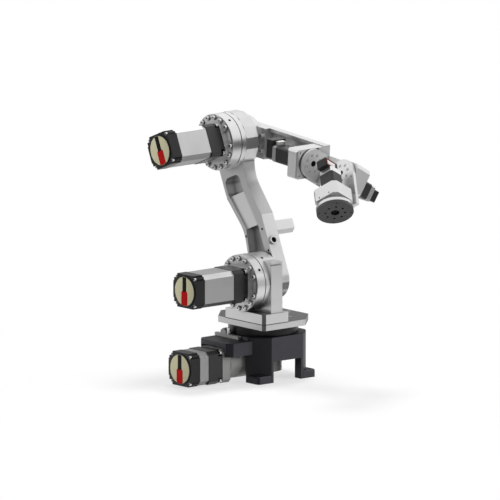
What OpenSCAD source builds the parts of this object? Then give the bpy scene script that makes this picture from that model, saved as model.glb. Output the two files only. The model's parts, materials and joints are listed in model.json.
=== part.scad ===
// Six-axis industrial robot arm with open geared drives.
// The origin is on the first axis, at floor level. +X is the way the arm reaches,
// and the three large motors point to -Y. All sizes are in millimetres.

/* [Pose at rest] */
// Lean of the lower arm, back from upright
arm_lean = 23; // [0:1:40]
// Pitch of the forearm, down from level
forearm_pitch = 4.1; // [-20:0.1:20]
// Roll of the wrist about the forearm
wrist_roll = 30; // [0:1:60]
// Bend of the tool axis, down from the forearm
wrist_bend = 49; // [0:1:80]

/* [Base casting] */
// Radius of the round body
base_r = 108; // [104:1:112]
// Depth of the four flats on the round body
flat_depth = 13; // [10:1:16]
// Height of the top rim
base_h = 116; // [112:1:124]
// Thickness of the top wall
base_top_t = 16; // [12:1:18]
// Thickness of the round wall
base_wall = 24; // [20:1:28]
// Half width of the arches between the legs
arch_half_w = 45; // [44:0.5:48]
// Height of the arches
arch_h = 54; // [40:1:60]
// Side of a foot pad
foot_w = 48; // [44:1:50]
// Height of a foot pad
foot_h = 20; // [14:1:26]
// Corner radius of a foot pad
foot_corner_r = 8; // [6:1:12]
// Radius of the round on a foot pad's top edges
foot_edge_r = 4; // [2:0.5:5]
// Diameter of the hold-down holes in the feet
foot_hole_d = 9; // [7:0.5:10]
// Distance of the hold-down holes from the round wall
foot_hole_out = 10.8; // [9:0.1:12]
// Half width of the hood over the first drive
hood_half_w = 62.5; // [58:0.5:66]
// Reach of the hood from the first axis
hood_reach = 165; // [150:1:170]
// Drop of the hood's top below the rim
hood_drop = 8; // [6:1:10]
// Height of the hood's side walls
hood_wall_h = 35; // [30:1:44]
// Thickness of the hood's roof
hood_roof_t = 12; // [8:1:13]
// Chamfer on the hood's upright outer corners
hood_chamfer = 14; // [6:1:18]
// Length of the stop bar on the hood
stop_bar_l = 92; // [80:1:100]
// Width of the stop bar
stop_bar_w = 10; // [8:0.5:12]
// Diameter of the stop stud on the bar
stud_d = 9; // [6:0.5:10]
// Height of the stop stud
stud_h = 18; // [12:1:22]
// Place of the stop stud, along X
stud_x = -16; // [-30:1:0]
// Length of the stop bar behind the stud
stop_bar_lead = 50; // [40:1:52]

/* [Turntable] */
// Width of the base's rim outside the slewing ring
rim_w = 19; // [17:1:22]
// Height of the slewing ring
slew_h = 25; // [20:1:30]
// Radius of the spigot that centres the ring in the base
spigot_r = 40; // [30:1:42]
// Depth of the spigot
spigot_h = 10; // [6:1:11]
// Half length of the plate, along X
plate_half_x = 118; // [112:1:124]
// Half width of the plate, along Y
plate_half_y = 97; // [96:1:104]
// Thickness of the plate
plate_t = 15.5; // [12:0.5:20]
// Chamfer on three corners of the plate
plate_chamfer = 56; // [40:1:60]
// Chamfer on the corner below the upright
plate_near_chamfer = 7.5; // [4:0.5:12]
// Thickness of the block on the plate
block_t = 26; // [20:1:30]
// Distance that the block stands out behind the upright
block_aft = 3; // [0:1:8]
// Distance that the block stands out inside the upright
block_in = 17; // [8:1:24]
// Radius of the ring of screws that hold the plate
plate_screw_r = 76; // [70:1:80]
// Screws that hold the plate
plate_screws = 6; // [4:1:8]
// Diameter of the screws' counterbores
plate_screw_d = 11; // [8:0.5:12]
// Depth of the screws' counterbores
plate_screw_t = 6; // [4:0.5:8]

/* [Shoulder] */
// Place of the shoulder axis, along X
shoulder_x = 40; // [34:1:44]
// Height of the shoulder axis above the block
shoulder_rise = 74; // [74:1:84]
// Distance from the shoulder axis to the upright's front face
upright_fwd = 75; // [72:1:77]
// Distance from the shoulder axis to the upright's back face
upright_aft = 70; // [64:1:72]
// Height of the ledge above the shoulder axis
ledge_rise = 58; // [46:1:62]
// Thickness of the upright
upright_t = 37; // [32:1:42]
// Thickness of the lip on the ledge
lip_h = 5; // [3:0.5:8]
// Depth of the groove below the lip
lip_groove = 4; // [2:0.5:5]

/* [Large drives] */
// Radius of the reducer ring
ring_r = 72; // [68:1:76]
// Depth of the shoulder reducer ring
shoulder_ring_t = 42; // [36:1:48]
// Depth of the elbow reducer ring
elbow_ring_t = 45; // [40:1:50]
// Distance of the ring's bolts from its edge
ring_bolt_in = 8; // [7:0.5:9]
// Bolts on the ring
ring_bolts = 16; // [12:1:20]
// Diameter of the bolt heads
bolt_head_d = 10; // [8:0.5:10.5]
// Height of the bolt heads
bolt_head_h = 6; // [4:0.5:7]
// Width of the bolts' hexagon sockets
bolt_socket = 5; // [4:0.5:6]
// Depth of the relief round the ring's waist
ring_groove = 2.5; // [1:0.5:4]
// Place of the relief, from the ring's seat
ring_groove_y = 14; // [8:1:20]
// Height of the two hand pockets in the ring's face
ring_pocket_h = 34; // [28:1:36]
// Depth of the hand pockets
ring_pocket_t = 7; // [4:1:10]
// Diameter of the oil holes
oil_hole_d = 5; // [3:0.5:6]
// Place of the ring's oil hole, behind its face
oil_hole_y = 15.5; // [12:0.5:20]
// Turn of the ring's oil hole, up from the front
oil_hole_turn = 34; // [30:1:40]
// Side of the motor's square frame
motor_w = 86; // [80:1:86]
// Thickness of the adaptor between motor and ring
adaptor_t = 8; // [6:0.5:12]
// Depth of the notches in the adaptor's corners
adaptor_notch = 2.5; // [1.5:0.5:4]
// Length of the motor's front part
motor_front_l = 45; // [40:1:50]
// Length of the shoulder and elbow stators
stator_l = 97; // [80:1:110]
// Length of the first drive's stator
base_stator_l = 29; // [24:1:60]
// Length of the end cap
cap_l = 30; // [24:1:36]
// Gap between the end cap's round face and its sides
cap_face_in = 5; // [3:0.5:8]
// Side of the pockets for the motor's corner bolts
corner_pocket = 15; // [13:0.5:17]
// Length of the pockets for the motor's corner bolts
corner_pocket_l = 14; // [10:1:20]
// Distance of the corner bolts from the motor's sides
corner_bolt_in = 7.5; // [7:0.5:9]
// Chamfer on the front part's long edges
front_chamfer = 8; // [5:0.5:10]
// Chamfer on the stator's long edges
stator_chamfer = 11; // [8:0.5:13]
// Step from the motor's frame down to the stator
stator_step = 1; // [0.5:0.5:2]
// Depth of the notches in the cap's corners
cap_notch = 12; // [10:0.5:14]
// Depth of the screw bosses behind the cap's face
cap_boss_in = 6; // [4:1:10]
// Diameter of the screw bosses in the cap's notches
cap_boss_d = 9; // [8:0.5:10]
// Reach of the connector block from the cap's side
gland_reach = 9; // [6:1:12]
// Half height of the connector block
gland_half = 22; // [16:1:26]
// Length of the first drive's gearbox flange
base_flange_l = 26; // [20:1:30]
// Length of the gearbox flange under the hood
flange_cover = 21; // [10:1:26]
// Width of the groove behind the gearbox flange
flange_groove = 4; // [2:0.5:6]
// Radius of the first drive's gearbox barrel
base_barrel_r = 41; // [36:1:42]
// Gap between the first drive's barrel and the hood's roof
base_drive_gap = 6; // [4:1:8]
// Radius of the first drive's output housing
output_r = 47; // [44:1:50]
// Height of the output housing's foot
output_foot = 17; // [12:1:30]

/* [Lower arm] */
// Distance between the shoulder and the elbow axes
arm_l = 367; // [350:1:400]
// Motor-side face of the arm, along Y
arm_outer = -28; // [-28:1:-24]
// Forearm-side face of the arm, along Y
arm_inner = 10; // [6:1:14]
// Radius of the arm's shoulder boss
boss_r = 51.5; // [48:0.5:56]
// Radius of the arm's head, to its flats
head_r = 72; // [70:1:76]
// Flats round the head
head_flats = 16; // [14:1:20]
// Height at which the front face turns back
knee_l = 157.5; // [150:0.5:164]
// Front of the neck, ahead of the line between the axes
neck_front = 26; // [20:1:28]
// Radius of the hollow in front of the neck
neck_r = 95; // [85:1:105]
// Distance of the neck below the elbow axis
neck_drop = 105; // [98:1:112]
// Height of the waist at the back
waist_l = 135; // [125:1:145]
// Back of the waist, behind the line between the axes
waist_back = 31; // [28:1:36]
// Back of the neck, behind the line between the axes
neck_back = 65; // [62:1:68]
// Distance of the back's bend below the elbow axis
bend_drop = 136; // [130:1:142]
// Radius of the back's bends
bend_r = 90; // [60:1:110]
// Width of the rim in front of the pocket
rim_front = 23; // [18:1:26]
// Width of the rim behind the pocket
rim_back = 9; // [8:1:14]
// Depth of the pocket at its ends
pocket_depth = 26; // [16:1:28]
// Depth of the pocket over the middle pad
pad_depth = 5; // [3:1:8]
// Radius of the pocket's upper corners
pocket_r = 16; // [8:1:22]
// Diameter of the small tapped holes
tap_d = 4; // [3:0.5:5]
// Diameter of the stop socket on the front face
socket_d = 14.5; // [10:0.5:16]
// Reach of the stop socket's rim from the front face
socket_out = 6; // [2:1:8]
// Height of the stop socket above the shoulder axis
socket_l = 87.5; // [70:0.5:100]
// Distance of the stop socket from the motor-side face
socket_in = 14.4; // [12:0.1:20]
// Radius of the shoulder's output hub
hub_r = 42; // [36:1:45]
// Reach of the stop lug from the arm
lug_l = 57; // [40:1:60]
// Height of the stop lug
lug_h = 25; // [20:1:30]

/* [Forearm] */
// Distance from the elbow axis to the roll flange's face
forearm_l = 302; // [295:1:330]
// Half height of the channel
channel_half_h = 40; // [40:1:44]
// Depth of the channel's root
root_t = 34; // [30:1:38]
// Thickness of the channel's web
web_t = 10; // [6:1:12]
// Depth of the channel's lips
lip_depth = 20; // [16:1:24]
// Thickness of the channel's lips
lip_t = 9; // [6:1:10]
// Radius of the elbow hub
elbow_hub_r = 58; // [50:1:62]
// Radius of the elbow hub's spigot in the arm's head
elbow_spigot_r = 42; // [36:1:45]
// Length of the solid root of the channel
root_l = 78; // [72:1:100]
// Depth of the elbow hub before the root
hub_t = 11; // [8:1:14]
// Depth of the elbow hub let into the root
hub_seat = 12; // [8:1:16]
// Length of the roll gear block
roll_block_l = 38; // [32:1:44]
// Half height of the roll gear block
roll_block_half = 38; // [38:1:40]
// Motor-side face of the roll gear block, along Y
roll_block_outer = -49; // [-52:1:-46]
// Chamfer on the roll gear block's long edges
roll_block_chamfer = 6; // [3:0.5:9]
// Radius of the roll gear block's upright edges
roll_block_r = 6; // [3:0.5:9]

/* [Small drives] */
// Side of the small motors' square frame
small_w = 42.3; // [39:0.1:44]
// Length of the roll motor's stator
roll_stator_l = 78; // [60:1:80]
// Length of the pitch motor's stator
pitch_stator_l = 38; // [20:1:40]
// Length of the tool motor's stator
tool_stator_l = 46; // [40:1:48]
// Length of the bright end bell
bell_l = 13; // [10:1:14]
// Length of the small end cap
small_cap_l = 23; // [18:1:24]
// Width of the small end cap
small_cap_w = 30; // [26:1:36]
// Height of the small end cap
small_cap_h = 48; // [44:1:52]
// Shift of the small end cap to its connector side
small_cap_shift = 9.5; // [6:0.5:12]

/* [Wrist] */
// Radius of the small flanges
flange_r = 38; // [36:1:38]
// Thickness of the roll flange
roll_flange_t = 6; // [5:0.5:8]
// Depth of the dark groove behind the roll flange
roll_groove_t = 2.5; // [2:0.5:4]
// Diameter of the bore in the small flanges
flange_bore_d = 12; // [8:0.5:16]
// Diameter of the bolt recesses in the small flanges
small_head_d = 8; // [6:0.5:9]
// Depth of the bolt recesses in the small flanges
small_head_t = 2; // [1:0.5:3]
// Radius of the bolt circle on the small flanges
flange_bolt_r = 22; // [18:0.5:26]
// Bolts on the small flanges
flange_bolts = 8; // [6:1:10]
// Radius of the shafts that carry the small flanges
small_shaft_r = 15; // [13:0.5:17]
// Length of the shafts that carry the small flanges
small_shaft_l = 12; // [8:1:14]
// Distance from the roll flange's face to the pitch axis
pitch_reach = 100; // [95:1:110]
// Inner face of the tool bracket, from the forearm axis
tool_bracket_y = 8; // [6:1:12]
// Thickness of the tool bracket
tool_bracket_t = 10; // [8:1:12]
// Half height of the roll flange's plate, below the roll axis
roll_plate_low = 43; // [40:1:46]
// Thickness of the roll flange's plate
roll_plate_t = 3.5; // [3:0.5:3.5]
// Distance from the reducer's face to the wrist bracket's arm
wrist_arm_in = 18; // [14:1:20]
// Thickness of the wrist bracket's arm
wrist_arm_t = 16; // [12:1:20]
// Radius of the reducer's body inside the wrist bracket
pitch_core_r = 30; // [26:1:32]
// Length of the pitch reducer
pitch_ring_l = 48; // [44:1:54]
// Offset of the pitch motor below the pitch axis
pitch_motor_drop = 8; // [0:1:10]
// Distance from the tool axis to the tool bracket
tool_gap = 45; // [42:1:48]

/* [Tool end] */
// Distance from the pitch axis to the tool flange's face
tool_l = 144; // [140:1:160]
// Half width of the tool gear block
tool_block_half = 38; // [38:1:40]
// Height of the tool gear block
tool_block_l = 36; // [32:1:40]
// Length of the neck between the block and the tool flange
tool_neck_l = 14; // [10:1:16]
// Chamfer on the block's upright corners
tool_block_chamfer = 9.5; // [6:0.5:12]
// Radius of the neck
tool_neck_r = 33; // [30:1:36]
// Radius of the tool flange
tool_flange_r = 47.5; // [45:0.5:50]
// Thickness of each of the two discs of the tool flange
tool_disc_t = 8; // [6:0.5:8]
// Radius of the tool flange's inner bolt circle
tool_bolt_r = 25; // [24:0.5:26]
// Diameter of the inner bolt holes
tool_hole_d = 6; // [4:0.5:6.5]
// Diameter of the tool flange's bore
tool_bore_d = 22; // [20:0.5:25]
// Radius of the tool flange's outer screw circle
tool_rim_r = 41; // [38:0.5:43]

/* [Clearances] */
// Radial play of a shaft in its bore
running_fit = 0.05; // [0.02:0.01:0.1]
// Gap between faces that turn past each other
turning_gap = 1; // [0.5:0.1:1.5]
// Gap between an arm and the part that it swings past
swing_gap = 5; // [5:0.5:6]

/* [Hidden] */
$fn = 96;

// Colours of the finishes
cast_grey = [0.20, 0.20, 0.22];
machined = [0.76, 0.76, 0.75];
black_part = [0.13, 0.13, 0.13];
stator_grey = [0.68, 0.68, 0.67];
gear_grey = [0.55, 0.55, 0.54];
bright = [0.88, 0.88, 0.87];
dark_plate = [0.27, 0.27, 0.27];

// Overlap that makes a cut pass a face
cut = 1;

// Outline of the base
base_flat = base_r - flat_depth;
base_hollow_r = base_r - base_wall;
foot_hole_xy = (base_r + foot_hole_out) / sqrt(2);
slew_r = base_r - rim_w;

// Heights of the base and of the stack on the first axis
hood_top = base_h - hood_drop;
hood_skirt = hood_top - hood_wall_h;
hood_ceiling = hood_top - hood_roof_t;
base_ceiling = base_h - base_top_t;
base_drive_z = hood_ceiling - base_barrel_r - base_drive_gap;
slew_z = base_h + turning_gap / 2;
plate_z = slew_z + slew_h;
block_z = plate_z + plate_t;
upright_z = block_z + block_t;
shoulder_z = upright_z + shoulder_rise;
upright_ledge = shoulder_z + ledge_rise;

// Faces of the upright and of the block that carries it
upright_inner = arm_outer - swing_gap;
upright_outer = upright_inner - upright_t;
upright_front = shoulder_x + upright_fwd;
upright_back = shoulder_x - upright_aft;
block_back = upright_back - block_aft;
block_inner = upright_inner + block_in;

// Stations and circles of the large drives
base_flange_y = flange_cover - hood_reach;
base_motor_y = base_flange_y - base_flange_l;
shoulder_face = upright_outer - shoulder_ring_t;
elbow_face = arm_outer - elbow_ring_t;
ring_bolt_r = ring_r - ring_bolt_in;
corner_bolt = motor_w / 2 - corner_bolt_in;
cap_screw = motor_w / 2 - cap_notch + cap_boss_d / 2 - 1;

// Places along the forearm, from the elbow axis
roll_block_front = forearm_l - roll_flange_t - roll_groove_t;
roll_block_back = roll_block_front - roll_block_l;
hub_inner = arm_inner + swing_gap;
root_inner = hub_inner + hub_t;
hub_outer = root_inner + hub_seat;
channel_outer = root_inner + root_t;
web_inner = channel_outer - web_t;
lip_inner = channel_outer - lip_depth;

// Places across the wrist, from the forearm axis
tool_y = tool_bracket_y - tool_gap;
pitch_ring_y = tool_bracket_y + tool_bracket_t + turning_gap;
wrist_arm_y = pitch_ring_y + wrist_arm_in;
wrist_arm_far = wrist_arm_y + wrist_arm_t;
pitch_motor_y = pitch_ring_y + pitch_ring_l;

// Places along the tool axis, from the pitch axis
tool_ring_x = tool_l - 2 * tool_disc_t;
tool_neck_x = tool_ring_x - turning_gap - tool_neck_l;
tool_block_x = tool_neck_x - tool_block_l;

// Frames of the moving pieces

module at_shoulder()
    translate([shoulder_x, 0, shoulder_z]) children();

module along_arm()
    at_shoulder() rotate([0, -arm_lean, 0]) children();

module at_arm_head()
    along_arm() translate([0, 0, arm_l]) children();

module along_forearm()
    at_arm_head() rotate([0, arm_lean + forearm_pitch, 0]) children();

module at_wrist()
    along_forearm()
        translate([forearm_l + pitch_reach, 0, 0]) rotate([-wrist_roll, 0, 0]) children();

module at_tool()
    at_wrist() translate([0, tool_y, 0]) rotate([0, wrist_bend, 0]) children();

// Plain shapes

// A profile drawn in X and Z, filled between two places along Y
module along_y(y_low, y_high)
    translate([0, y_high, 0]) rotate([90, 0, 0]) linear_extrude(y_high - y_low) children();

// A profile drawn in Y and Z, filled between two places along X
module along_x(x_low, x_high)
    translate([x_low, 0, 0]) rotate([90, 0, 90]) linear_extrude(x_high - x_low) children();

module rod_y(r, y_low, y_high)
    translate([0, y_high, 0]) rotate([90, 0, 0]) cylinder(r = r, h = y_high - y_low);

module rod_x(r, x_low, x_high)
    translate([x_low, 0, 0]) rotate([0, 90, 0]) cylinder(r = r, h = x_high - x_low);

// A box between two opposite corners
module block(low, high)
    translate(low) cube(high - low);

module at_corners(across, up)
    for (x = [-1, 1], y = [-1, 1])
        translate([x * across, y * up]) children();

module round_square(w, h, r) {
    square([w - 2 * r, h], center = true);
    square([w, h - 2 * r], center = true);
    at_corners(w / 2 - r, h / 2 - r) circle(r = r);
}

module notched_square(w, notch)
    difference() {
        square(w, center = true);
        at_corners(w / 2, w / 2) square(2 * notch, center = true);
    }

module chamfered_square(w, chamfer)
    intersection() {
        square(w, center = true);
        rotate(45) square((w - chamfer) * sqrt(2), center = true);
    }

function unit(v) = v / norm(v);

function half_turn(corner, before, after) =
    acos(unit(before - corner) * unit(after - corner)) / 2;

// Centre of the arc that rounds a corner
function arc_centre(corner, before, after, r) =
    corner + unit(unit(before - corner) + unit(after - corner)) * r / sin(half_turn(corner, before, after));

// Point where that arc leaves the side to the point before
function arc_end(corner, before, after, r) =
    corner + unit(before - corner) * r / tan(half_turn(corner, before, after));

// What lies between a corner and the arc that rounds it
module corner_piece(corner, before, after, r)
    difference() {
        polygon([
            corner, arc_end(corner, before, after, r), arc_end(corner, after, before, r)
        ]);
        translate(arc_centre(corner, before, after, r)) circle(r = r);
    }

// Children repeated round the Y axis
module ring_of_y(count, r, turn = 0)
    for (i = [0 : count - 1])
        rotate([0, turn + i * 360 / count, 0]) translate([0, 0, r]) children();

// Children repeated round the X axis
module ring_of_x(count, r, turn = 0)
    for (i = [0 : count - 1])
        rotate([turn + i * 360 / count, 0, 0]) translate([0, 0, r]) children();

// A socket-head bolt that stands on a face and points to -Y
module bolt_head_y(face)
    difference() {
        rod_y(bolt_head_d / 2, face - bolt_head_h, face + cut);
        translate([0, face - bolt_head_h / 2, 0]) rotate([90, 0, 0])
            cylinder(d = bolt_socket / cos(30), h = bolt_head_h, $fn = 6);
    }

// Large drives, built along -Y from a seat face

module ring_relief(seat)
    translate([0, seat - ring_groove_y, 0]) rotate([90, 0, 0]) difference() {
        cylinder(r = ring_r + cut, h = ring_groove);
        translate([0, 0, -cut]) cylinder(r = ring_r - ring_groove, h = ring_groove + 2 * cut);
    }

// Pockets beside the motor, on the ring's level centre line
module ring_pockets(face)
    along_y(face - cut, face + ring_pocket_t) for (side = [-1, 1])
        translate([side * (motor_w / 2 + ring_bolt_r) / 2, 0])
            round_square(ring_bolt_r - motor_w / 2, ring_pocket_h, bolt_head_d / 2);

module oil_hole(y, turn)
    rotate([0, -turn, 0]) translate([0, y, 0])
        rod_x(oil_hole_d / 2, ring_r - 2 * oil_hole_d, ring_r + cut);

// The ring's bolts leave out the two places of the pockets
module reducer_ring(seat, depth)
    color(machined) {
        difference() {
            rod_y(ring_r, seat - depth, seat);
            ring_relief(seat);
            ring_pockets(seat - depth);
            oil_hole(seat - depth + oil_hole_y, oil_hole_turn);
        }
        for (i = [0 : ring_bolts - 1])
            if (abs(sin(i * 360 / ring_bolts)) < 0.99)
                rotate([0, i * 360 / ring_bolts, 0]) translate([0, 0, ring_bolt_r])
                    bolt_head_y(seat - depth);
    }

module corner_bolts(face)
    for (x = [-1, 1], z = [-1, 1])
        translate([x * corner_bolt, 0, z * corner_bolt]) bolt_head_y(face);

module drive_adaptor(seat)
    color(machined) {
        along_y(seat - adaptor_t, seat) notched_square(motor_w, adaptor_notch);
        corner_bolts(seat - adaptor_t);
    }

module motor_front(seat)
    color(black_part) difference() {
        along_y(seat - motor_front_l, seat) chamfered_square(motor_w, front_chamfer);
        along_y(seat - corner_pocket_l, seat + cut)
            at_corners(motor_w / 2, motor_w / 2) square(2 * corner_pocket, center = true);
    }

module motor_stator(seat, length)
    color(stator_grey) along_y(seat - length, seat)
        chamfered_square(motor_w - 2 * stator_step, stator_chamfer);

module motor_cap(seat) {
    face = seat - cap_l;
    side = -motor_w / 2;
    color(black_part) {
        along_y(face, seat) notched_square(motor_w, cap_notch);
        rod_y(motor_w / 2 - cap_face_in, face - 1.5, face + cut);
        block([side - gland_reach, face + 5, -gland_half], [side + 4, seat - 4, gland_half]);
        block([side - gland_reach - 4, face + 8, -gland_half * 2 / 3],
            [side - gland_reach + cut, seat - 7, gland_half * 2 / 3]);
        for (x = [-1, 1], z = [-1, 1])
            translate([x * cap_screw, 0, z * cap_screw])
                rod_y(cap_boss_d / 2, face + cap_boss_in, seat);
    }
}

// Small drives, built along -X from a seat face

module small_stator(seat, length)
    color(black_part) along_x(seat - length, seat) chamfered_square(small_w, 4);

module small_bell(seat)
    color(stator_grey) along_x(seat - bell_l, seat) chamfered_square(small_w, 4);

module small_cap(seat, width)
    color(black_part) along_x(seat - small_cap_l, seat)
        translate([0, small_cap_shift]) round_square(width, small_cap_h, 2);

// Base

// Section of a foot pad, round at its top edges
module pad_section(w) {
    translate([foot_edge_r - w / 2, 0]) square([w - 2 * foot_edge_r, foot_h]);
    translate([-w / 2, 0]) square([w, foot_h - foot_edge_r]);
    for (side = [-1, 1])
        translate([side * (w / 2 - foot_edge_r), foot_h - foot_edge_r]) circle(r = foot_edge_r);
}

module foot_pad() {
    inner = foot_w / 2 - foot_corner_r;
    along_x(-inner, inner) pad_section(foot_w);
    along_y(-inner, inner) pad_section(foot_w);
    for (x = [-1, 1], y = [-1, 1])
        translate([x * inner, y * inner, 0]) rotate_extrude() intersection() {
            pad_section(2 * foot_corner_r);
            square([foot_corner_r, foot_h]);
        }
}

module base_casting()
    color(cast_grey) difference() {
        union() {
            intersection() {
                cylinder(r = base_r, h = base_h);
                block([-base_flat, -base_flat, 0], [base_flat, base_flat, base_h]);
            }
            for (x = [-1, 1], y = [-1, 1])
                translate([x * (base_flat - foot_w / 2), y * (base_flat - foot_w / 2), 0])
                    foot_pad();
            block([-hood_half_w, -base_flat, hood_skirt], [hood_half_w, 0, hood_top]);
        }
        translate([0, 0, -cut]) cylinder(r = base_hollow_r, h = base_ceiling + cut);
        block([-base_r, -arch_half_w, -cut], [base_r, arch_half_w, arch_h]);
        block([-arch_half_w, -base_r, -cut], [arch_half_w, base_r, arch_h]);
        block([-arch_half_w, -base_r, -cut], [arch_half_w, 0, hood_ceiling]);
        translate([0, 0, base_ceiling - cut])
            cylinder(r = spigot_r + running_fit, h = base_top_t + 2 * cut);
        for (x = [-1, 1], y = [-1, 1])
            translate([x * foot_hole_xy, y * foot_hole_xy, -cut])
                cylinder(d = foot_hole_d, h = foot_h + 2 * cut);
    }

module motor_hood()
    color(cast_grey) difference() {
        linear_extrude(hood_top) polygon([
            [-hood_half_w, -base_flat], [hood_half_w, -base_flat],
            [hood_half_w, hood_chamfer - hood_reach], [hood_half_w - hood_chamfer, -hood_reach],
            [hood_chamfer - hood_half_w, -hood_reach], [-hood_half_w, hood_chamfer - hood_reach]
        ]);
        block([-base_r, -base_r * 2, -cut], [base_r, 0, hood_skirt]);
        block([-arch_half_w, -base_r * 2, -cut], [arch_half_w, 0, hood_ceiling]);
    }

// A bar on the hood, with the switch that the stud works beside
module stop_bar() {
    bar_x = stud_x - stop_bar_lead;
    bar_y = -base_flat - stop_bar_w;
    color(gear_grey) {
        block([bar_x, bar_y, hood_top], [bar_x + stop_bar_l, -base_flat, base_h]);
        block([stud_x - 3 * stud_d, bar_y + 2, base_h - cut],
            [stud_x - stud_d, -base_flat - 1, base_h + stud_h / 2]);
        translate([stud_x - 2 * stud_d, 0, base_h + stud_h / 2])
            rod_y(stud_d / 2, bar_y + 2, -base_flat - 1);
    }
}

module stop_stud()
    color(bright) translate([stud_x, -base_flat - stop_bar_w / 2, base_h]) {
        cylinder(d = stud_d, h = stud_h);
        cylinder(d = stop_bar_w, h = stud_h / 3);
    }

module base_gearbox()
    color(gear_grey) {
        translate([0, 0, base_drive_z]) {
            along_y(base_motor_y, base_flange_y)
                chamfered_square(motor_w, front_chamfer);
            corner_bolts(base_motor_y);
            rod_y(base_barrel_r - flange_groove, base_flange_y - cut, 0);
            rod_y(base_barrel_r, base_flange_y + flange_groove, 0);
            rotate([0, -26, 0]) translate([0, base_flange_y + 35, 0])
                rod_x(5, 0, base_barrel_r + base_drive_gap);
        }
        translate([0, 0, output_foot]) cylinder(r = output_r, h = base_ceiling - output_foot);
    }

module base_motor_front()
    translate([0, 0, base_drive_z]) motor_front(base_motor_y);

module base_motor_stator()
    translate([0, 0, base_drive_z]) motor_stator(base_motor_y - motor_front_l, base_stator_l);

module base_motor_cap()
    translate([0, 0, base_drive_z]) motor_cap(base_motor_y - motor_front_l - base_stator_l);

// Turntable

module slew_ring()
    color(black_part) {
        translate([0, 0, slew_z]) cylinder(r = slew_r, h = slew_h);
        translate([0, 0, slew_z - spigot_h]) cylinder(r = spigot_r, h = spigot_h + cut);
    }

module turntable_plate()
    color(machined) difference() {
        translate([0, 0, plate_z]) linear_extrude(plate_t) polygon([
            [plate_half_x, plate_half_y - plate_chamfer],
            [plate_half_x - plate_chamfer, plate_half_y],
            [plate_chamfer - plate_half_x, plate_half_y],
            [-plate_half_x, plate_half_y - plate_chamfer],
            [-plate_half_x, plate_chamfer - plate_half_y],
            [plate_chamfer - plate_half_x, -plate_half_y],
            [plate_half_x - plate_near_chamfer, -plate_half_y],
            [plate_half_x, plate_near_chamfer - plate_half_y]
        ]);
        for (i = [0 : plate_screws - 1])
            rotate([0, 0, 23 + i * 360 / plate_screws])
                translate([plate_screw_r, 0, block_z - plate_screw_t])
                    cylinder(d = plate_screw_d, h = plate_screw_t + cut);
    }

module bracket_block()
    color(machined) translate([0, 0, block_z]) linear_extrude(block_t) polygon([
        [block_back, block_inner],
        [block_back, -plate_half_y],
        [plate_half_x - plate_near_chamfer, -plate_half_y],
        [plate_half_x, plate_near_chamfer - plate_half_y],
        [plate_half_x, block_inner]
    ]);

module shoulder_upright()
    color(machined) difference() {
        union() {
            block([upright_back, upright_outer, upright_z],
                [upright_front, upright_inner, upright_ledge]);
            at_shoulder() rod_y(ring_r, upright_outer, upright_inner);
        }
        at_shoulder() rod_y(hub_r + running_fit, upright_outer - cut, upright_inner + cut);
        block([upright_front - lip_groove, upright_outer - cut, upright_ledge - lip_h - lip_groove],
            [upright_front + cut, upright_inner + cut, upright_ledge - lip_h]);
        at_shoulder() oil_hole(upright_outer + oil_hole_d, 63);
    }

module shoulder_reducer()
    at_shoulder() reducer_ring(upright_outer, shoulder_ring_t);

module shoulder_adaptor()
    at_shoulder() drive_adaptor(shoulder_face);

module shoulder_motor_front()
    at_shoulder() motor_front(shoulder_face - adaptor_t);

module shoulder_motor_stator()
    at_shoulder() motor_stator(shoulder_face - adaptor_t - motor_front_l, stator_l);

module shoulder_motor_cap()
    at_shoulder() motor_cap(shoulder_face - adaptor_t - motor_front_l - stator_l);

// Lower arm, drawn across (forward) and along the line between its axes

knee = [boss_r, knee_l];
neck_centre = [neck_front + neck_r, arm_l - neck_drop];
to_neck = neck_centre - knee;
neck_turn = atan2(to_neck[1], to_neck[0]) + asin(neck_r / norm(to_neck));
neck_reach = sqrt(to_neck * to_neck - neck_r * neck_r);
neck_start = knee + neck_reach * [cos(neck_turn), sin(neck_turn)];
back_top = [-neck_back, arm_l - head_r / 3];
back_bend = [-neck_back, arm_l - bend_drop];
back_waist = [-waist_back, waist_l];
back_foot = [-boss_r, 0];
waist_centre = arc_centre(back_waist, back_bend, back_foot, bend_r);
waist_upper = arc_end(back_waist, back_bend, back_foot, bend_r);
waist_lower = arc_end(back_waist, back_foot, back_bend, bend_r);

function head_point(i) =
    let (turn = (i + 0.5) * 360 / head_flats, r = head_r / cos(180 / head_flats))
    [r * cos(turn), arm_l + r * sin(turn)];

// The front runs straight up to the knee, leans back to the neck and curves out to the head
module arm_outline() {
    circle(r = boss_r);
    polygon([for (i = [0 : head_flats - 1]) head_point(i)]);
    difference() {
        polygon([
            [boss_r, 0], knee, neck_start,
            [head_r / 2, arm_l - head_r / 2], [0, arm_l],
            back_top, back_bend, waist_upper, waist_centre, waist_lower, back_foot
        ]);
        translate(neck_centre) circle(r = neck_r);
        translate(waist_centre) circle(r = bend_r);
        corner_piece(back_bend, back_top, back_waist, bend_r);
    }
}

pocket_top = arm_l - neck_drop + pocket_r;
pocket_head_front = [neck_front - rim_front, pocket_top];
pocket_head_back = [rim_back - neck_back, pocket_top];
pocket_neck_front = [neck_front - rim_front + 2, arm_l - neck_drop - rim_front];
pocket_neck_back = [rim_back - neck_back, arm_l - bend_drop + rim_back];

module arm_pocket(low, high)
    intersection() {
        difference() {
            polygon([
                [boss_r - rim_front, 20], [boss_r - rim_front, waist_l - 5],
                pocket_neck_front, pocket_head_front, pocket_head_back, pocket_neck_back,
                [rim_back - waist_back, waist_l + 3], [rim_back - boss_r + 6, 60],
                [rim_back - boss_r + 6, 20]
            ]);
            corner_piece(pocket_head_front, pocket_neck_front, pocket_head_back, pocket_r);
            corner_piece(pocket_head_back, pocket_head_front, pocket_neck_back, pocket_r);
        }
        translate([-boss_r - neck_back, low]) square([4 * boss_r, high - low]);
    }

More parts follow.
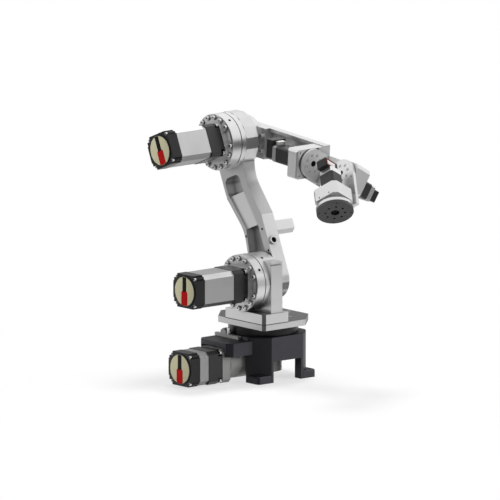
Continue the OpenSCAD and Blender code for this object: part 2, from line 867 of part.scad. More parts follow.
// Tapped holes in the rims of the arm
arm_taps = [
    [boss_r - rim_front / 2, waist_l - 13],
    [boss_r - rim_front / 2 + 3, 65],
    [rim_back / 5 - waist_back, waist_l - 14]
];

module lower_arm()
    color(machined) along_arm() difference() {
        union() {
            along_y(arm_outer, arm_inner) arm_outline();
            translate([boss_r, arm_outer + socket_in, socket_l]) rod_x(socket_d / 2 + 3, -cut, socket_out);
        }
        along_y(arm_outer - cut, arm_outer + pad_depth) arm_pocket(20, arm_l);
        along_y(arm_outer - cut, arm_outer + pocket_depth) arm_pocket(20, waist_l + 3);
        along_y(arm_outer - cut, arm_outer + pocket_depth) arm_pocket(arm_l - bend_drop, arm_l);
        translate([0, 0, arm_l])
            rod_y(elbow_spigot_r + running_fit, arm_outer - cut, arm_inner + cut);
        translate([boss_r, arm_outer + socket_in, socket_l]) rod_x(socket_d / 2, -10, socket_out + cut);
        for (tap = arm_taps)
            translate([tap[0], 0, tap[1]]) rod_y(tap_d / 2, arm_outer - cut, arm_outer + 2 * tap_d);
    }

module shoulder_hub()
    color(machined) at_shoulder() rod_y(hub_r, upright_outer + turning_gap, arm_outer);

module stop_lug()
    color(machined) along_arm() translate([boss_r, 0, waist_l - 11])
        along_y(arm_inner, arm_inner + lug_l)
            polygon([[0, lug_h / 2], [0, -lug_h / 2], [-12, -lug_h / 2 - 9], [-16, lug_h / 2]]);

module elbow_reducer()
    at_arm_head() reducer_ring(arm_outer, elbow_ring_t);

module elbow_adaptor()
    at_arm_head() drive_adaptor(elbow_face);

module elbow_motor_front()
    at_arm_head() motor_front(elbow_face - adaptor_t);

module elbow_motor_stator()
    at_arm_head() motor_stator(elbow_face - adaptor_t - motor_front_l, stator_l);

module elbow_motor_cap()
    at_arm_head() motor_cap(elbow_face - adaptor_t - motor_front_l - stator_l);

// Forearm

module elbow_hub()
    color(machined) along_forearm() {
        rod_y(elbow_hub_r, hub_inner, hub_outer);
        rod_y(elbow_spigot_r, arm_outer + turning_gap, hub_inner + cut);
    }

module forearm_channel()
    color(machined) along_forearm() {
        difference() {
            union() {
                along_y(root_inner, channel_outer) {
                    circle(r = channel_half_h);
                    translate([0, -channel_half_h]) square([root_l, 2 * channel_half_h]);
                }
                along_y(web_inner, channel_outer) translate([0, -channel_half_h])
                    square([roll_block_front, 2 * channel_half_h]);
                for (side = [0, 1]) mirror([0, 0, side])
                    block([root_l - cut, lip_inner, channel_half_h - lip_t],
                        [roll_block_front, channel_outer, channel_half_h]);
            }
            rod_y(elbow_hub_r, root_inner - cut, hub_outer);
        }
        for (side = [-1, 1])
            translate([root_l - bolt_head_d, 0, side * channel_half_h / 2]) bolt_head_y(root_inner);
    }

module roll_block_section() {
    low = roll_block_outer + roll_block_chamfer;
    high = roll_block_half - roll_block_chamfer;
    polygon([
        [low, -roll_block_half], [lip_inner, -roll_block_half],
        [lip_inner, roll_block_half], [low, roll_block_half],
        [roll_block_outer, high], [roll_block_outer, -high]
    ]);
    translate([lip_inner - cut, lip_t - channel_half_h])
        square([web_inner - lip_inner + cut, 2 * (channel_half_h - lip_t)]);
}

// Screw holes in the roll gear block's front face, across and up from the roll axis
roll_holes = [
    [roll_block_half / 2, roll_block_half - tap_d], [roll_block_half / 2, tap_d - roll_block_half],
    [(lip_inner + web_inner) / 2, 15], [(lip_inner + web_inner) / 2, -15],
    [roll_block_outer + 11, roll_block_half - 8], [roll_block_outer + 11, 8 - roll_block_half]
];

module roll_gear_block()
    color(machined) along_forearm() difference() {
        union() {
            along_x(roll_block_back, roll_block_front) roll_block_section();
            rod_x(flange_r - 4, roll_block_front - cut,
                roll_block_front + roll_groove_t - turning_gap);
        }
        translate([0, 0, -roll_block_half - cut]) linear_extrude(2 * roll_block_half + 2 * cut) {
            corner_piece([roll_block_back, roll_block_outer], [roll_block_back, 0],
                [roll_block_front, roll_block_outer], roll_block_r);
            corner_piece([roll_block_front, roll_block_outer], [roll_block_front, 0],
                [roll_block_back, roll_block_outer], roll_block_r);
        }
        rod_x(small_shaft_r + running_fit,
            forearm_l - roll_flange_t - small_shaft_l - turning_gap, forearm_l);
        for (hole = roll_holes)
            translate([0, hole[0], hole[1]])
                rod_x(tap_d / 2, roll_block_front - 2 * tap_d, roll_block_front + cut);
    }

module roll_motor_stator()
    along_forearm() small_stator(roll_block_back, roll_stator_l);

module roll_motor_bell()
    along_forearm() small_bell(roll_block_back - roll_stator_l);

module roll_motor_cap()
    along_forearm() small_cap(roll_block_back - roll_stator_l - bell_l, small_w);

// Wrist

module roll_flange()
    color(machined) at_wrist() difference() {
        union() {
            rod_x(flange_r, -pitch_reach - roll_flange_t, -pitch_reach);
            rod_x(small_shaft_r, -pitch_reach - roll_flange_t - small_shaft_l, -pitch_reach);
            block([-pitch_reach - roll_plate_t, 0, -roll_plate_low],
                [-pitch_reach, wrist_arm_far, flange_r]);
        }
        rod_x(flange_bore_d / 2, -pitch_reach - roll_flange_t - small_shaft_l - cut,
            cut - pitch_reach);
        ring_of_x(flange_bolts, flange_bolt_r)
            rod_x(small_head_d / 2, -pitch_reach - small_head_t, cut - pitch_reach);
    }

// The bracket's arm carries the pitch reducer in a bore
module wrist_bracket() {
    end = flange_r - tool_block_chamfer;
    color(machined) at_wrist() difference() {
        along_y(wrist_arm_y, wrist_arm_far) polygon([
            [-pitch_reach, -flange_r], [end, -flange_r], [flange_r, -end],
            [flange_r, end], [end, flange_r], [-pitch_reach, flange_r]
        ]);
        rod_y(pitch_core_r, wrist_arm_y - cut, wrist_arm_far + cut);
    }
}

module pitch_reducer()
    color(machined) at_wrist() difference() {
        union() {
            along_y(pitch_ring_y, wrist_arm_y)
                chamfered_square(2 * flange_r, tool_block_chamfer);
            rod_y(pitch_core_r, wrist_arm_y - cut, wrist_arm_far + cut);
            along_y(wrist_arm_far, pitch_motor_y)
                chamfered_square(2 * flange_r, tool_block_chamfer);
        }
        rod_y(small_shaft_r + running_fit, pitch_ring_y - cut, pitch_ring_y + small_shaft_l);
    }

// The pitch motor's axis is the pitch axis, moved down the bracket
module at_pitch_motor()
    at_wrist() translate([0, 0, -pitch_motor_drop]) rotate([0, 0, -90]) children();

module pitch_motor_stator()
    at_pitch_motor() small_stator(-pitch_motor_y, pitch_stator_l);

module pitch_motor_bell()
    at_pitch_motor() small_bell(-pitch_motor_y - pitch_stator_l);

module pitch_motor_cap()
    at_pitch_motor() rotate([90, 0, 0])
        small_cap(-pitch_motor_y - pitch_stator_l - bell_l, small_cap_w);

// Tool end

module tool_bracket()
    color(machined) at_tool() difference() {
        union() {
            rod_y(flange_r, tool_gap, tool_gap + tool_bracket_t);
            block([0, tool_gap, -flange_r],
                [tool_neck_x, tool_gap + tool_bracket_t, flange_r]);
            rod_y(small_shaft_r, tool_gap, tool_gap + tool_bracket_t + small_shaft_l);
        }
        rod_y(flange_bore_d / 2, tool_gap - cut,
            tool_gap + tool_bracket_t + small_shaft_l + cut);
        ring_of_y(flange_bolts, flange_bolt_r)
            rod_y(small_head_d / 2, tool_gap - cut, tool_gap + small_head_t);
        for (side = [-1, 1])
            translate([flange_bolt_r + tap_d, 0, side * (flange_r - 2 * tap_d)])
                rod_y(tap_d / 2, tool_gap - cut, tool_gap + tool_bracket_t + cut);
    }

module tool_gear_block()
    color(machined) at_tool() difference() {
        union() {
            along_x(tool_block_x, tool_neck_x)
                chamfered_square(2 * tool_block_half, tool_block_chamfer);
            block([tool_block_x, 0, tool_block_chamfer - tool_block_half],
                [tool_neck_x, tool_gap, tool_block_half - tool_block_chamfer]);
            rod_x(tool_neck_r, tool_neck_x - cut, tool_neck_x + tool_neck_l);
        }
        rod_x(small_shaft_r + running_fit,
            tool_ring_x - small_shaft_l - turning_gap, tool_ring_x);
        for (side = [-1, 1])
            translate([tool_neck_x - 1.5 * tap_d, 0, side * 4 * tap_d])
                rod_y(tap_d / 2, -tool_block_half - cut, 2 * tap_d - tool_block_half);
    }

module tool_motor_stator()
    at_tool() small_stator(tool_block_x, tool_stator_l);

module tool_motor_bell()
    at_tool() small_bell(tool_block_x - tool_stator_l);

module tool_motor_cap()
    at_tool() rotate([90, 0, 0]) small_cap(tool_block_x - tool_stator_l - bell_l, small_cap_w);

module tool_ring()
    color(bright) at_tool() difference() {
        union() {
            rod_x(tool_flange_r, tool_ring_x, tool_ring_x + tool_disc_t);
            rod_x(small_shaft_r, tool_ring_x - small_shaft_l, tool_ring_x + cut);
        }
        rod_x(tool_bore_d / 2, tool_ring_x - small_shaft_l - cut, tool_ring_x + tool_disc_t + cut);
    }

module tool_plate()
    color(dark_plate) at_tool() difference() {
        rod_x(tool_flange_r, tool_ring_x + tool_disc_t, tool_l);
        rod_x(tool_bore_d / 2, tool_ring_x, tool_l + cut);
        ring_of_x(flange_bolts, tool_bolt_r)
            rod_x(tool_hole_d / 2, tool_ring_x, tool_l + cut);
        ring_of_x(4, tool_rim_r, 45) rod_x(tap_d / 2, tool_l - tap_d, tool_l + cut);
    }

base_casting();
motor_hood();
stop_bar();
stop_stud();
base_gearbox();
base_motor_front();
base_motor_stator();
base_motor_cap();
slew_ring();
turntable_plate();
bracket_block();
shoulder_upright();
shoulder_reducer();
shoulder_adaptor();
shoulder_motor_front();
shoulder_motor_stator();
shoulder_motor_cap();
lower_arm();
shoulder_hub();
stop_lug();
elbow_reducer();
elbow_adaptor();
elbow_motor_front();
elbow_motor_stator();
elbow_motor_cap();
elbow_hub();
forearm_channel();
roll_gear_block();
roll_motor_stator();
roll_motor_bell();
roll_motor_cap();
roll_flange();
wrist_bracket();
pitch_reducer();
pitch_motor_stator();
pitch_motor_bell();
pitch_motor_cap();
tool_bracket();
tool_gear_block();
tool_motor_stator();
tool_motor_bell();
tool_motor_cap();
tool_ring();
tool_plate();
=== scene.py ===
"""Looks of the six-axis robot arm: finishes, small fittings, studio and camera."""

import json
import math

import bpy
from mathutils import Matrix, Vector


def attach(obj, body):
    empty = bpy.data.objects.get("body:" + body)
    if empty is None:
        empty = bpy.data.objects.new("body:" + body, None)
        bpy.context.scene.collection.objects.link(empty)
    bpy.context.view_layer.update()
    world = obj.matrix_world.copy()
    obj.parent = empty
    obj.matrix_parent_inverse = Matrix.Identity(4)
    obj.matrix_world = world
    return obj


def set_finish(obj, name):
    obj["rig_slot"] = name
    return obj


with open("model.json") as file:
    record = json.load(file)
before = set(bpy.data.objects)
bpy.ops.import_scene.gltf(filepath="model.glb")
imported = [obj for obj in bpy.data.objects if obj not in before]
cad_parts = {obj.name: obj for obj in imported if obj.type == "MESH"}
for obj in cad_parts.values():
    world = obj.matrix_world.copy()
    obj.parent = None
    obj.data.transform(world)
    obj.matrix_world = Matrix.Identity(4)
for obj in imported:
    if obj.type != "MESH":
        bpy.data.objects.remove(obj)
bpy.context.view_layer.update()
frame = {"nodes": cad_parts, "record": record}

MM = 0.001

# Axes and joint centres of the arm at rest, in metres
SHOULDER = Vector((0.040, 0.0, 0.257))
ELBOW = Vector((-0.103398, 0.0, 0.594825))
BASE_DRIVE = Vector((0.0, 0.0, 0.049))
ARM_LEAN = math.radians(23)
ARM_FRONT = Vector((math.cos(ARM_LEAN), 0, math.sin(ARM_LEAN)))
ARM_UP = Vector((-math.sin(ARM_LEAN), 0, math.cos(ARM_LEAN)))
OUTER = Vector((0, -1, 0))
FOREARM_PITCH = math.radians(4.1)
WRIST_ROLL = math.radians(30)
WRIST_BEND = math.radians(49)
ROLL_REACH = 302 * MM
PITCH_REACH = 402 * MM

# Levels of the lower arm: its outer rims and pocket floors along Y, its neck and foot along Z
RIM_DEPTH = -28
ARM_RIM = RIM_DEPTH * MM
ARM_FLOOR = -2 * MM
NECK_Z = 0.50
NECK_FADE = 20 * MM
FOOT_Z = 0.258
FOOT_FADE = 4 * MM

# Spans of the surface's direction, or of a depth, over which one tone gives way to another
FACE_SPAN = (0.80, 0.95)
DOWN_SPAN = (0.35, 0.75)
CHAMFER_SPAN = (0.30, 0.45)
PAD_SPAN = (0.06, 0.16)
POCKET_SPAN = (0.50, 0.70)
SLOPE_SPAN = (0.44, 0.58)
FOOT_BAND_SPAN = (0.02, 0.10)
FOOT_UNDER_SPAN = (0.40, 0.55)
SEAM_SHADE_SPAN = (0.30, 0.92)

# Tones of the painted shade, painted highlight and painted reflection
SEAM_SHADE_TONE = 0.20
SEAM_SHADE_MOST = 0.75
RIM_SHADE_TONE = 0.60
PAD_HIGHLIGHT_TONE = 0.86
POCKET_SHADE_TONE = 0.46
FOOT_BAND_SHADE_TONE = 0.16
UNDER_SHADE_TONE = 0.16
CORNER_REFLECTION_TONE = 0.12

# Grain of the finishes, in grains a metre, its stretch, its relief and its spread of gloss
METAL_CLOUD = 9
COAT_CLOUD = 14
HOUSING_CLOUD = 20
CLOUD_DETAIL = 4
FINE_DETAIL = 2
METAL_GRAINS = 900
BRIGHT_GRAINS = 1500
DRAWN_GRAINS = 700
TOOL_STRETCH = (1, 1, 0.15)
DRAWN_STRETCH = (1, 0.05, 1)
COAT_ROUGH_SPREAD = 0.06
DRAWN_ROUGH_SPREAD = 0.02
METAL_RELIEF = (0.03, 0.1 * MM)
DRAWN_RELIEF = (0.012, 0.1 * MM)
COAT_RELIEF = 0.4 * MM
SHADER_SAMPLES = 4

# Radii of the edges as the light sees them, and widths of the painted shade in each seam and
# corner
EDGE = 1.0 * MM
BLACK_EDGE = 1.6 * MM
CAST_EDGE = 2.4 * MM
SEAM_SHADE_WIDTH = 12 * MM
DEEP_SEAM_SHADE_WIDTH = 40 * MM


# Node helpers

def new_finish(name):
    """A material with its shader and its place on the surface."""
    material = bpy.data.materials.new(name)
    material.use_nodes = True
    nodes = material.node_tree.nodes
    nodes.clear()
    shader = nodes.new("ShaderNodeBsdfPrincipled")
    output = nodes.new("ShaderNodeOutputMaterial")
    place = nodes.new("ShaderNodeTexCoord")
    material.node_tree.links.new(shader.outputs["BSDF"], output.inputs["Surface"])
    return material, nodes, material.node_tree.links, shader, place.outputs["Object"]


def grain(nodes, links, place, scale, detail, stretch=(1, 1, 1)):
    """Noise at so many grains a metre, stretched along the axes."""
    mapping = nodes.new("ShaderNodeMapping")
    mapping.inputs["Scale"].default_value = stretch
    links.new(place, mapping.inputs["Vector"])
    noise = nodes.new("ShaderNodeTexNoise")
    noise.inputs["Scale"].default_value = scale
    noise.inputs["Detail"].default_value = detail
    links.new(mapping.outputs["Vector"], noise.inputs["Vector"])
    return noise.outputs["Fac"]


def ramp(nodes, links, value, low, high, start=0.3, end=0.7):
    """A colour that runs from low to high as the value does from start to end."""
    made = nodes.new("ShaderNodeValToRGB")
    for element, colour, place in zip(made.color_ramp.elements, (low, high), (start, end)):
        element.color = (*colour, 1)
        element.position = place
    links.new(value, made.inputs["Fac"])
    return made.outputs["Color"]


def grey(value):
    """A colour without a hue."""
    return (value, value, value)


def bump(nodes, links, shader, height, strength, distance, edge=EDGE):
    """A fine relief, over edges that are broken by a small radius."""
    edges = nodes.new("ShaderNodeBevel")
    edges.samples = SHADER_SAMPLES
    edges.inputs["Radius"].default_value = edge
    made = nodes.new("ShaderNodeBump")
    links.new(edges.outputs["Normal"], made.inputs["Normal"])
    made.inputs["Strength"].default_value = strength
    made.inputs["Distance"].default_value = distance
    links.new(height, made.inputs["Height"])
    links.new(made.outputs["Normal"], shader.inputs["Normal"])


def facing(nodes, links, lean=0.0):
    """The three parts of the surface's direction, in a frame that may lean about Y."""
    place = nodes.new("ShaderNodeTexCoord")
    upright = nodes.new("ShaderNodeMapping")
    upright.inputs["Rotation"].default_value = (0, lean, 0)
    parts = nodes.new("ShaderNodeSeparateXYZ")
    links.new(place.outputs["Normal"], upright.inputs["Vector"])
    links.new(upright.outputs["Vector"], parts.inputs["Vector"])
    return parts.outputs


def times(nodes, links, first, second):
    """The product of two values, or of a value and a number."""
    made = nodes.new("ShaderNodeMath")
    made.operation = "MULTIPLY"
    links.new(first, made.inputs[0])
    if isinstance(second, (int, float)):
        made.inputs[1].default_value = second
    else:
        links.new(second, made.inputs[1])
    return made.outputs[0]


def unsigned(nodes, links, value):
    """The value without its sign."""
    made = nodes.new("ShaderNodeMath")
    made.operation = "ABSOLUTE"
    links.new(value, made.inputs[0])
    return made.outputs[0]


def between(nodes, links, value, start, end):
    """None at the start and one at the end of a stretch, in a straight line."""
    made = nodes.new("ShaderNodeMapRange")
    made.inputs["From Min"].default_value = start
    made.inputs["From Max"].default_value = end
    links.new(value, made.inputs["Value"])
    return made.outputs["Result"]


def share(nodes, links, value, span):
    """A share that grows from none to all as the value goes over the span."""
    return ramp(nodes, links, value, grey(0), grey(1), *span)


def upward(nodes, links):
    """One where the surface faces up, none on the sides."""
    return share(nodes, links, facing(nodes, links)["Z"], FACE_SPAN)


def downward(nodes, links, lean=0.0):
    """One where the surface faces down, none on the sides."""
    falling = times(nodes, links, facing(nodes, links, lean)["Z"], -1)
    return share(nodes, links, falling, DOWN_SPAN)


def corners(nodes, links):
    """One on the upright corner chamfers that face forward, none elsewhere."""
    way = facing(nodes, links)
    slant = times(nodes, links, way["X"], unsigned(nodes, links, way["Y"]))
    return share(nodes, links, slant, CHAMFER_SPAN)


def blended(nodes, links, part, first, second):
    """The first colour, and the second as far as its part goes."""
    mix = nodes.new("ShaderNodeMix")
    mix.data_type = "RGBA"
    sockets = {socket.identifier: socket for socket in mix.inputs}
    links.new(part, sockets["Factor_Float"])
    links.new(first, sockets["A_Color"])
    sockets["B_Color"].default_value = (*second, 1)
    return next(socket for socket in mix.outputs if socket.identifier == "Result_Color")


def seam_shade(nodes, links, width):
    """A share of painted shade that rises in each seam and corner so wide, none on open faces."""
    closed = nodes.new("ShaderNodeAmbientOcclusion")
    closed.samples = SHADER_SAMPLES
    closed.inputs["Distance"].default_value = width
    return ramp(nodes, links, closed.outputs["AO"], grey(SEAM_SHADE_MOST), grey(0), *SEAM_SHADE_SPAN)


# Finishes

def satin_metal(name, dark, light, rough, metallic, grains=METAL_GRAINS, top_shade_tone=None,
                shade=None, seam=SEAM_SHADE_WIDTH):
    """Machined metal: a slow change of tone, fine tool grain in gloss and surface, painted shade
    in each seam and corner, and a painted top shade and further painted light where they are
    given.
    """
    material, nodes, links, shader, place = new_finish(name)
    shader.inputs["Metallic"].default_value = metallic
    cloud = grain(nodes, links, place, METAL_CLOUD, CLOUD_DETAIL)
    fine = grain(nodes, links, place, grains, FINE_DETAIL, TOOL_STRETCH)
    tone = ramp(nodes, links, cloud, dark, light)
    # Painted shade: faces that look up take the top shade tone
    if top_shade_tone is not None:
        tone = blended(nodes, links, upward(nodes, links), tone, top_shade_tone)
    if shade is not None:
        tone = shade(nodes, links, place, tone)
    # Painted shade: occlusion darkens each seam and corner towards the seam shade tone
    tone = blended(nodes, links, seam_shade(nodes, links, seam), tone, grey(SEAM_SHADE_TONE))
    links.new(tone, shader.inputs["Base Color"])
    gloss = ramp(nodes, links, fine, *(grey(end) for end in rough))
    links.new(gloss, shader.inputs["Roughness"])
    bump(nodes, links, shader, fine, *METAL_RELIEF)
    return material


def coated(name, dark, light, roughness, grains, strength, gloss, top_shade_tone=None, edge=EDGE,
           corner_reflection_tone=None):
    """Powder coat, anodising or moulded plastic: a fine pebbled skin, with a painted top shade and
    a painted dark reflection on the forward corners where their tones are given.
    """
    material, nodes, links, shader, place = new_finish(name)
    shader.inputs["Specular IOR Level"].default_value = gloss
    pebble = grain(nodes, links, place, grains, FINE_DETAIL)
    cloud = grain(nodes, links, place, COAT_CLOUD, CLOUD_DETAIL)
    tone = ramp(nodes, links, cloud, dark, light)
    # Painted shade: faces that look up take the top shade tone
    if top_shade_tone is not None:
        tone = blended(nodes, links, upward(nodes, links), tone, top_shade_tone)
    # Painted reflection: the forward corner chamfers take a darker tone
    if corner_reflection_tone is not None:
        tone = blended(nodes, links, corners(nodes, links), tone, corner_reflection_tone)
    links.new(tone, shader.inputs["Base Color"])
    smooth, coarse = grey(roughness - COAT_ROUGH_SPREAD), grey(roughness + COAT_ROUGH_SPREAD)
    links.new(ramp(nodes, links, pebble, smooth, coarse), shader.inputs["Roughness"])
    bump(nodes, links, shader, pebble, strength, COAT_RELIEF, edge)
    return material


def housing(name, dark, light, edge, painted_under, roughness, metallic, lean=0.0):
    """A drawn motor housing along Y: draw lines, a painted highlight on the upper chamfers and
    painted shade on the underside.
    """
    material, nodes, links, shader, place = new_finish(name)
    shader.inputs["Metallic"].default_value = metallic
    cloud = grain(nodes, links, place, HOUSING_CLOUD, CLOUD_DETAIL)
    drawn = grain(nodes, links, place, DRAWN_GRAINS, FINE_DETAIL, DRAWN_STRETCH)
    way = facing(nodes, links, lean)
    slant = unsigned(nodes, links, times(nodes, links, way["X"], way["Z"]))
    chamfer = share(nodes, links, slant, CHAMFER_SPAN)
    # Painted highlight: the chamfers take the edge tone
    tone = blended(nodes, links, chamfer, ramp(nodes, links, cloud, dark, light), edge)
    # Painted shade: faces that look down take the tone for the underside
    tone = blended(nodes, links, downward(nodes, links, lean), tone, painted_under)
    links.new(tone, shader.inputs["Base Color"])
    smooth, coarse = grey(roughness - DRAWN_ROUGH_SPREAD), grey(roughness + DRAWN_ROUGH_SPREAD)
    links.new(ramp(nodes, links, drawn, smooth, coarse), shader.inputs["Roughness"])
    bump(nodes, links, shader, drawn, *DRAWN_RELIEF)
    return material


def arm_shade(nodes, links, place, tone):
    """Painted light on the lower arm: painted shade on the outer rims, a painted highlight on the
    pads, painted shade on the pocket floors and on the slope above the knee, and a band of painted
    shade where the round foot turns down."""
    spot = nodes.new("ShaderNodeSeparateXYZ")
    links.new(place, spot.inputs["Vector"])
    way = facing(nodes, links)
    outer = share(nodes, links, times(nodes, links, way["Y"], -1), FACE_SPAN)
    depth = between(nodes, links, spot.outputs["Y"], ARM_RIM, ARM_FLOOR)
    pads = share(nodes, links, depth, PAD_SPAN)
    floors = share(nodes, links, depth, POCKET_SPAN)
    slope = times(nodes, links, share(nodes, links, way["Z"], SLOPE_SPAN), way["X"])
    below_neck = between(nodes, links, spot.outputs["Z"], NECK_Z + NECK_FADE, NECK_Z)
    falling = times(nodes, links, way["Z"], -1)
    foot = between(nodes, links, spot.outputs["Z"], FOOT_Z + FOOT_FADE, FOOT_Z)
    band = times(nodes, links, foot, share(nodes, links, falling, FOOT_BAND_SPAN))
    painted_under = times(nodes, links, foot, share(nodes, links, falling, FOOT_UNDER_SPAN))
    for part, painted_tone in ((band, FOOT_BAND_SHADE_TONE), (painted_under, RIM_SHADE_TONE), (outer, RIM_SHADE_TONE),
                           (times(nodes, links, outer, pads), PAD_HIGHLIGHT_TONE),
                           (times(nodes, links, outer, floors), POCKET_SHADE_TONE),
                           (times(nodes, links, slope, below_neck), POCKET_SHADE_TONE)):
        tone = blended(nodes, links, part, tone, grey(painted_tone))
    return tone


def under_shade(nodes, links, place, tone):
    """Painted shade on the underside."""
    return blended(nodes, links, downward(nodes, links), tone, grey(UNDER_SHADE_TONE))


def corner_shade(nodes, links, place, tone):
    """Painted dark reflection on the corner chamfers that face forward."""
    return blended(nodes, links, corners(nodes, links), tone, grey(CORNER_REFLECTION_TONE))


# Roughness from and to, and share of metal, for satin_metal
SATIN = ((0.28, 0.36), 0.78)
TURNED = ((0.24, 0.32), 0.78)
GROUND = ((0.34, 0.42), 0.62)
POLISHED = ((0.18, 0.28), 0.75)
# Roughness, grains a metre, strength of relief and gloss, for coated
POWDER = (0.40, 1400, 0.10, 0.19)
ANODISED = (0.34, 1800, 0.06, 0.40)
DEEP_BLACK = (0.34, 1800, 0.06, 0.30)
MOULDED = (0.38, 1100, 0.08, 0.28)
PAINTED = (0.36, 900, 0.08, 0.40)
TOOL_PLATE = (0.34, 1600, 0.06, 0.40)
PAPER = (0.50, 500, 0.04, 0.15)
PRINT = (0.50, 500, 0.04, 0.10)
DULL = (0.60, 900, 0.04, 0.05)
PLUG_SKIN = (0.42, 700, 0.06, 0.30)

FINISH = {
    "machined": satin_metal("machined_aluminium", grey(0.69), grey(0.76), *SATIN),
    # The lower arm: the machined finish painted a little darker, with the painted shade and
    # highlight of the arm's shade
    "arm_casting": satin_metal("machined_arm", grey(0.64), grey(0.70), *SATIN, shade=arm_shade),
    # The tool ring: a wider painted shade in each seam and corner
    "deep_ring": satin_metal("machined_ring", grey(0.72), grey(0.79), *TURNED, seam=DEEP_SEAM_SHADE_WIDTH),
    # Painted shade on the faces that look down
    "painted_under_shade": satin_metal("machined_painted_under_shade", grey(0.69), grey(0.76), *SATIN,
                              shade=under_shade),
    # The turntable plate: painted shade on its top and a painted dark reflection on its forward
    # corner chamfers
    "plate_painted_shade_and_reflection": satin_metal("plate_painted_shade_and_reflection", grey(0.64), grey(0.71), *GROUND,
                                top_shade_tone=grey(0.13), shade=corner_shade),
    # The bracket block: a painted dark reflection on its forward corner chamfers
    "painted_corner_reflection": satin_metal("machined_painted_corner_reflection", grey(0.69), grey(0.76), *SATIN,
                                shade=corner_shade),
    "ring_black": coated("black_ring", grey(0.005), grey(0.008), *DEEP_BLACK, edge=BLACK_EDGE),
    "bright": satin_metal("bright_steel", grey(0.78), grey(0.84), *POLISHED, BRIGHT_GRAINS),
    # The base casting: painted shade on its top and a painted dark reflection on its forward
    # corner
    "casting": coated("charcoal_powder_coat", (0.060, 0.060, 0.069), (0.072, 0.072, 0.082),
                      *POWDER, top_shade_tone=(0.010, 0.010, 0.012), edge=CAST_EDGE,
                      corner_reflection_tone=(0.022, 0.022, 0.026)),
    "black_metal": coated("black_anodised", grey(0.022), grey(0.028), *ANODISED,
                          edge=BLACK_EDGE),
    "black_plastic": coated("black_moulding", grey(0.014), grey(0.020), *MOULDED,
                            edge=BLACK_EDGE),
    # Drawn housings: the edge tone is a painted highlight on the chamfers and the tone for the
    # underside a painted shade; the leaning elbow copy is painted lighter and the low base copy
    # darker, as the light falls on them
    "stator": housing("drawn_housing", grey(0.42), grey(0.46), edge=grey(0.97),
                      painted_under=grey(0.22), roughness=0.30, metallic=0.75),
    "leaning_stator_painted_lighter": housing("drawn_housing_leaning_painted_lighter", grey(0.53), grey(0.58), edge=grey(0.97),
                              painted_under=grey(0.22), roughness=0.30, metallic=0.75, lean=ARM_LEAN),
    "low_stator_painted_darker": housing("drawn_housing_low_painted_darker", grey(0.33), grey(0.37), edge=grey(0.78),
                          painted_under=grey(0.16), roughness=0.32, metallic=0.70),
    "gear": coated("warm_grey_paint", (0.36, 0.36, 0.35), (0.42, 0.42, 0.41), *PAINTED),
    "dark_plate": coated("dark_tool_plate", grey(0.045), grey(0.060), *TOOL_PLATE),
    "label": coated("cream_label", (0.74, 0.70, 0.47), (0.80, 0.76, 0.52), *PAPER),
    "red_mark": coated("red_mark", (0.50, 0.006, 0.006), (0.58, 0.010, 0.010), *PRINT),
    "black_mark": coated("black_mark", grey(0.006), grey(0.010), *PRINT),
    "plate_frame": coated("plate_frame_print", (0.10, 0.020, 0.022), (0.13, 0.026, 0.028),
                          *PRINT),
    "plate_face": coated("pale_plate_print", grey(0.62), grey(0.68), *PRINT),
    "hole_shade": coated("black_hole_shade", grey(0.004), grey(0.006), *DULL),
    "white_plug": coated("white_plug_moulding", (0.70, 0.69, 0.66), (0.76, 0.75, 0.72),
                         *PLUG_SKIN),
}

# The finish of each material slot, and of the parts that have one of their own
SLOT_FINISH = {
    "machined": "machined", "bright_steel": "bright", "cast_grey": "casting",
    "black_metal": "black_metal", "black_plastic": "black_plastic", "stator_grey": "stator",
    "gear_grey": "gear", "dark_plate": "dark_plate",
}
NODE_FINISH = {
    "slew_ring": "ring_black", "bracket_block": "painted_corner_reflection",
    "turntable_plate": "plate_painted_shade_and_reflection", "lower_arm": "arm_casting", "stop_lug": "painted_under_shade",
    "tool_ring": "deep_ring", "shoulder_reducer": "painted_under_shade",
    "elbow_motor_stator": "leaning_stator_painted_lighter", "base_motor_stator": "low_stator_painted_darker",
}

for part in frame["record"]["subparts"]:
    node = frame["nodes"][part["node"]]
    skin = node.data.materials
    skin.clear()
    skin.append(FINISH[NODE_FINISH.get(part["node"], SLOT_FINISH[part["material_slot"]])])


# Modelling helpers

SMOOTH_ANGLE = math.radians(30)
CLOSE = 0.01 * MM
MERGE = 0.002 * MM
FLAT = 0.99
STEEP = 0.9
SOFT_SEGMENTS = 2


def start_fresh():
    """Leaves edit mode and drops every selection, so that an operator meets only the new piece."""
    if bpy.context.object is not None and bpy.context.object.mode != "OBJECT":
        leave_edit()
    bpy.ops.object.select_all(action="DESELECT")


def edit():
    """Goes into edit mode."""
    bpy.ops.object.mode_set(mode="EDIT")


def leave_edit():
    """Goes back to object mode."""
    bpy.ops.object.mode_set(mode="OBJECT")


def pick_all():
    """In edit mode, selects the whole piece."""
    bpy.ops.mesh.select_all(action="SELECT")


def pick_faces(test):
    """In edit mode, selects the faces whose normal passes the test."""
    bpy.ops.mesh.select_mode(type="FACE")
    bpy.ops.mesh.select_all(action="DESELECT")
    leave_edit()
    for face in bpy.context.object.data.polygons:
        face.select = test(face.normal)
    edit()


def pick_top():
    """In edit mode, selects the faces that look straight up."""
    pick_faces(lambda normal: normal.z > FLAT)


def pick_edges(test):
    """In edit mode, selects the edges whose two ends pass the test."""
    bpy.ops.mesh.select_mode(type="EDGE")
    bpy.ops.mesh.select_all(action="DESELECT")
    leave_edit()
    mesh = bpy.context.object.data
    for edge in mesh.edges:
        edge.select = test(*(mesh.vertices[i].co for i in edge.vertices))
    edit()


def at_height(z):
    """A test for edges that lie at one height."""
    return lambda a, b: abs(a.z - z) < CLOSE and abs(b.z - z) < CLOSE


